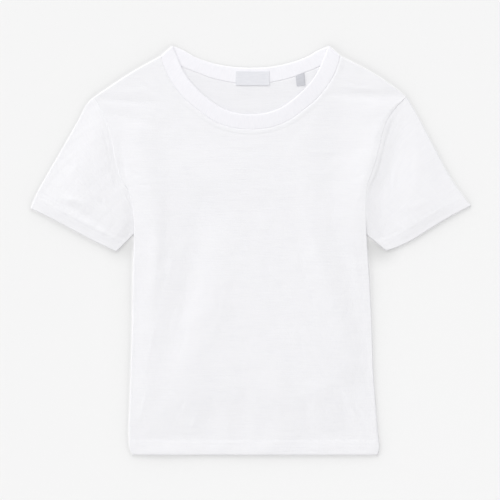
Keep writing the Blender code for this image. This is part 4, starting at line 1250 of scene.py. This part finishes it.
def woven_tape(name, light, shade):
    """Smooth woven tape with a fine even weave."""
    material, tree, shader, place = cloth_material(name, 0.1, 0.55)
    weave = maths(tree, "MULTIPLY", *(rippled(tree, axis, TAPE_PITCH) for axis in axes_of(tree, place)))
    tone = noise(tree, place, (80.0, 700.0))
    feed(tree, shader, {"Base Color": coloured(tree, tone, [(0.35, shade), (0.65, light)]),
                        "Normal": bump(tree, weave, 0.00005, 0.6)})
    return material


# ---------------------------------------- the shirt

def wear(piece, material, slot, *nodes):
    piece.data.materials.append(material)
    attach(piece, "root")
    if nodes:
        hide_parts(*nodes)
    return piece


def line_across(grid, levels, level):
    """The polyline at one level, across a grid whose rows are at these levels."""
    row = np.interp(level, levels, np.arange(len(levels)))
    low = int(row)
    return between(grid[low], grid[low + 1], row - low)


def hem_stitches(front_grid, levels, back_grid, back_levels):
    rows = []
    for depth in STITCH_ROWS:
        under = line_across(back_grid, back_levels, depth - HALF_LENGTH)
        under[:, 2] = UNDER_STITCH
        rows += [line_across(front_grid, levels, depth - HALF_LENGTH)[4:-4], under]
    return stitches("hem_stitches", rows)


def cuff_stitches(side, outer, from_cuff):
    rows = []
    rings, distances = outer[:SLEEVE_ROWS - 1:-1], from_cuff[:SLEEVE_ROWS - 1:-1]
    for depth in CUFF_ROWS:
        loop = line_across(rings, distances, depth)
        loop = np.vstack([loop, loop[:1]])
        loop[:, 2] = np.where(loop[:, 2] < UNDERSIDE, UNDER_STITCH, loop[:, 2])
        rows.append(loop)
    return stitches("cuff_stitches_" + side, rows)


def dress():
    # The back wears a darker copy of the jersey: painted shade inside the neck
    white, back_in_shade = jersey("slub jersey", *WHITE), jersey("slub jersey, reverse", *BACK_SHADED_TONES)
    band_rib, thread = rib("neck rib", *RIB), sewing_thread("sewing thread", *SEWING)
    tape, tab_tape = woven_tape("woven tape", *LABEL_TAPE), woven_tape("tab tape", *TAB_TAPE)

    front, front_grid, levels = make_front()
    back, back_grid, back_levels = make_back()
    wear(front, white, "jersey", "front")
    wear(back, back_in_shade, "jersey", "back")
    wear(hem_stitches(front_grid, levels, back_grid, back_levels), thread, "jersey")
    band = wear(make_neckband(), band_rib, "neck_rib", "neckband")
    for side in SIDES:
        sleeve, outer, from_cuff = make_sleeve(side)
        wear(sleeve, white, "jersey", "sleeve_" + side)
        wear(cuff_stitches(side, outer, from_cuff), thread, "jersey")
    label, sewn = make_label()
    wear(label, tape, "label", "neck_label")
    wear(sewn, thread, "label")
    tab = wear(make_tab(), tab_tape, "label", "size_tab")


# ---------------------------------------- stage

FLOOR_TONE = 0.868
FLOOR_HALF = 6.0
CAMERA_HEIGHT = 3.0
PHOTO_SIZE = 500
PIXEL = 0.001465  # metres on the surface for one pixel of the photo
PHOTO_MIDDLE_X = 250.75  # the shirt's middle in the photo, in pixels
SENSOR = 36.0
LIGHT_HEADING = np.radians(35.0)  # from the neck's side towards the shirt's left
LIGHT_WAY = np.array([-np.sin(LIGHT_HEADING), np.cos(LIGHT_HEADING), 0.0])
KEY_HEIGHT = 42.0  # degrees over the floor
KEY_ANGLE = 95.0
KEY_POWER = 1.76
LAMP_DISTANCE = 6.0
LAMP_SIZE = 3.6
LAMP_HEIGHT = 40.0
LAMP_POWER = 50.0
LAMP_FALLOFF = 0.032  # share by which the floor gets brighter for each metre towards the lamp
SKY_POWER = 0.637
# Painted shadow: the floor's tone near the cloth, from the open share of what is round it within the
# reach. It is darkest a little way out and lighter again right at the contact
SHADE_REACH = 0.045
CONTACT_SHADE = ((0.5, 1.0), (0.65, 0.985), (0.75, 0.922), (0.84, 0.865), (0.895, 0.85),
                 (0.927, 0.864), (0.947, 0.885), (0.96, 0.907), (0.97, 0.927), (0.98, 0.95),
                 (0.99, 0.966), (1.0, 0.971))
# Painted shadow, deeper in the corner below each sleeve: its middle, its reach and its tone there
CORNER_SHADE = (((-188.0, 4.0), (34.0, 30.0), 0.89), ((188.0, 4.0), (38.0, 34.0), 0.80))


def grey_ramp(tree, value, stops):
    return coloured(tree, value, [(place, (tone,) * 3) for place, tone in stops])


def corner_shade(tree, place, middle, reach, depth):
    """A soft oval of painted shadow in the floor's colour."""
    centre = (middle[0] * MM, (middle[1] + DRAFT_SHIFT_Y) * MM, 0.0)
    away = added(tree, "VectorMath", {0: place, 1: centre}, "SUBTRACT").outputs["Vector"]
    oval = stretched(tree, away, (1.0 / (reach[0] * MM), 1.0 / (reach[1] * MM), 1.0))
    size = added(tree, "VectorMath", {0: oval}, "LENGTH").outputs["Value"]
    return grey_ramp(tree, size, [(share, between(depth, 1.0, float(ease(share))))
                                  for share in (0.0, 0.25, 0.5, 0.75, 1.0)])


def board():
    """A pale board whose colour is painted darker towards the lamp to even out its falloff, and holds
    painted shadow near the cloth and below the sleeves.
    """
    material, tree, shader = new_material("pale board")
    place = tree.nodes.new("ShaderNodeTexCoord").outputs["Object"]
    way = added(tree, "VectorMath", {0: place, 1: LIGHT_WAY}, "DOT_PRODUCT").outputs["Value"]
    # The board's colour is painted darker towards the lamp and lighter away from it, against the lamp's
    # falloff
    evened = maths(tree, "ADD", maths(tree, "MULTIPLY", way, LAMP_FALLOFF), 1.0)
    near = added(tree, "AmbientOcclusion", {"Distance": SHADE_REACH})
    near.samples = 16
    # Painted shadow near the cloth, driven by ambient occlusion
    shade = grey_ramp(tree, near.outputs["AO"], CONTACT_SHADE)
    # Painted shadow in the corners below the sleeves
    for middle, reach, depth in CORNER_SHADE:
        shade = maths(tree, "MULTIPLY", shade, corner_shade(tree, place, middle, reach, depth))
    colour = maths(tree, "MULTIPLY", maths(tree, "DIVIDE", FLOOR_TONE, evened), shade)
    feed(tree, shader, {"Roughness": 1.0, "Specular IOR Level": 0.0, "Base Color": colour})
    return material


def lay_floor():
    mesh = bpy.data.meshes.new("floor")
    corners = [(-1, -1), (1, -1), (1, 1), (-1, 1)]
    mesh.from_pydata([(x * FLOOR_HALF, y * FLOOR_HALF, 0.0) for x, y in corners], [], [(0, 1, 2, 3)])
    mesh.materials.append(board())
    put("floor", mesh)


def put_light(name, kind, power, height):
    """A light from the lights' heading, at this height in degrees."""
    data = bpy.data.lights.new(name, kind)
    data.energy = power
    lamp = put(name, data)
    lamp.rotation_euler = (np.radians(height - 90.0), 0.0, LIGHT_HEADING)
    return lamp


def light_stage():
    world = bpy.data.worlds.new("studio")
    bpy.context.scene.world = world
    world.use_nodes = True
    feed(world.node_tree, world.node_tree.nodes["Background"],
         {"Color": (1.0, 1.0, 1.0, 1.0), "Strength": SKY_POWER})
    key = put_light("key", "SUN", KEY_POWER, KEY_HEIGHT)
    key.data.angle = np.radians(KEY_ANGLE)
    key.data.use_shadow = False    # the board's colour holds painted shadow instead
    lamp = put_light("soft lamp", "AREA", LAMP_POWER, LAMP_HEIGHT)
    lamp.data.shape = "DISK"
    lamp.data.size = LAMP_SIZE
    rise = np.radians(LAMP_HEIGHT)
    lamp.location = LAMP_DISTANCE * (np.cos(rise) * LIGHT_WAY + [0.0, 0.0, np.sin(rise)])


def aim_camera():
    lens = bpy.data.cameras.new("camera")
    lens.sensor_width = SENSOR
    lens.lens = SENSOR * CAMERA_HEIGHT / (PHOTO_SIZE * PIXEL)
    lens.clip_end = 50.0
    camera = put("camera", lens)
    camera.location = ((PHOTO_SIZE / 2 - PHOTO_MIDDLE_X) * PIXEL, DRAFT_SHIFT_Y * MM, CAMERA_HEIGHT)
    bpy.context.scene.camera = camera


dress()
lay_floor()
light_stage()
aim_camera()
bpy.context.scene.view_settings.view_transform = "Standard"
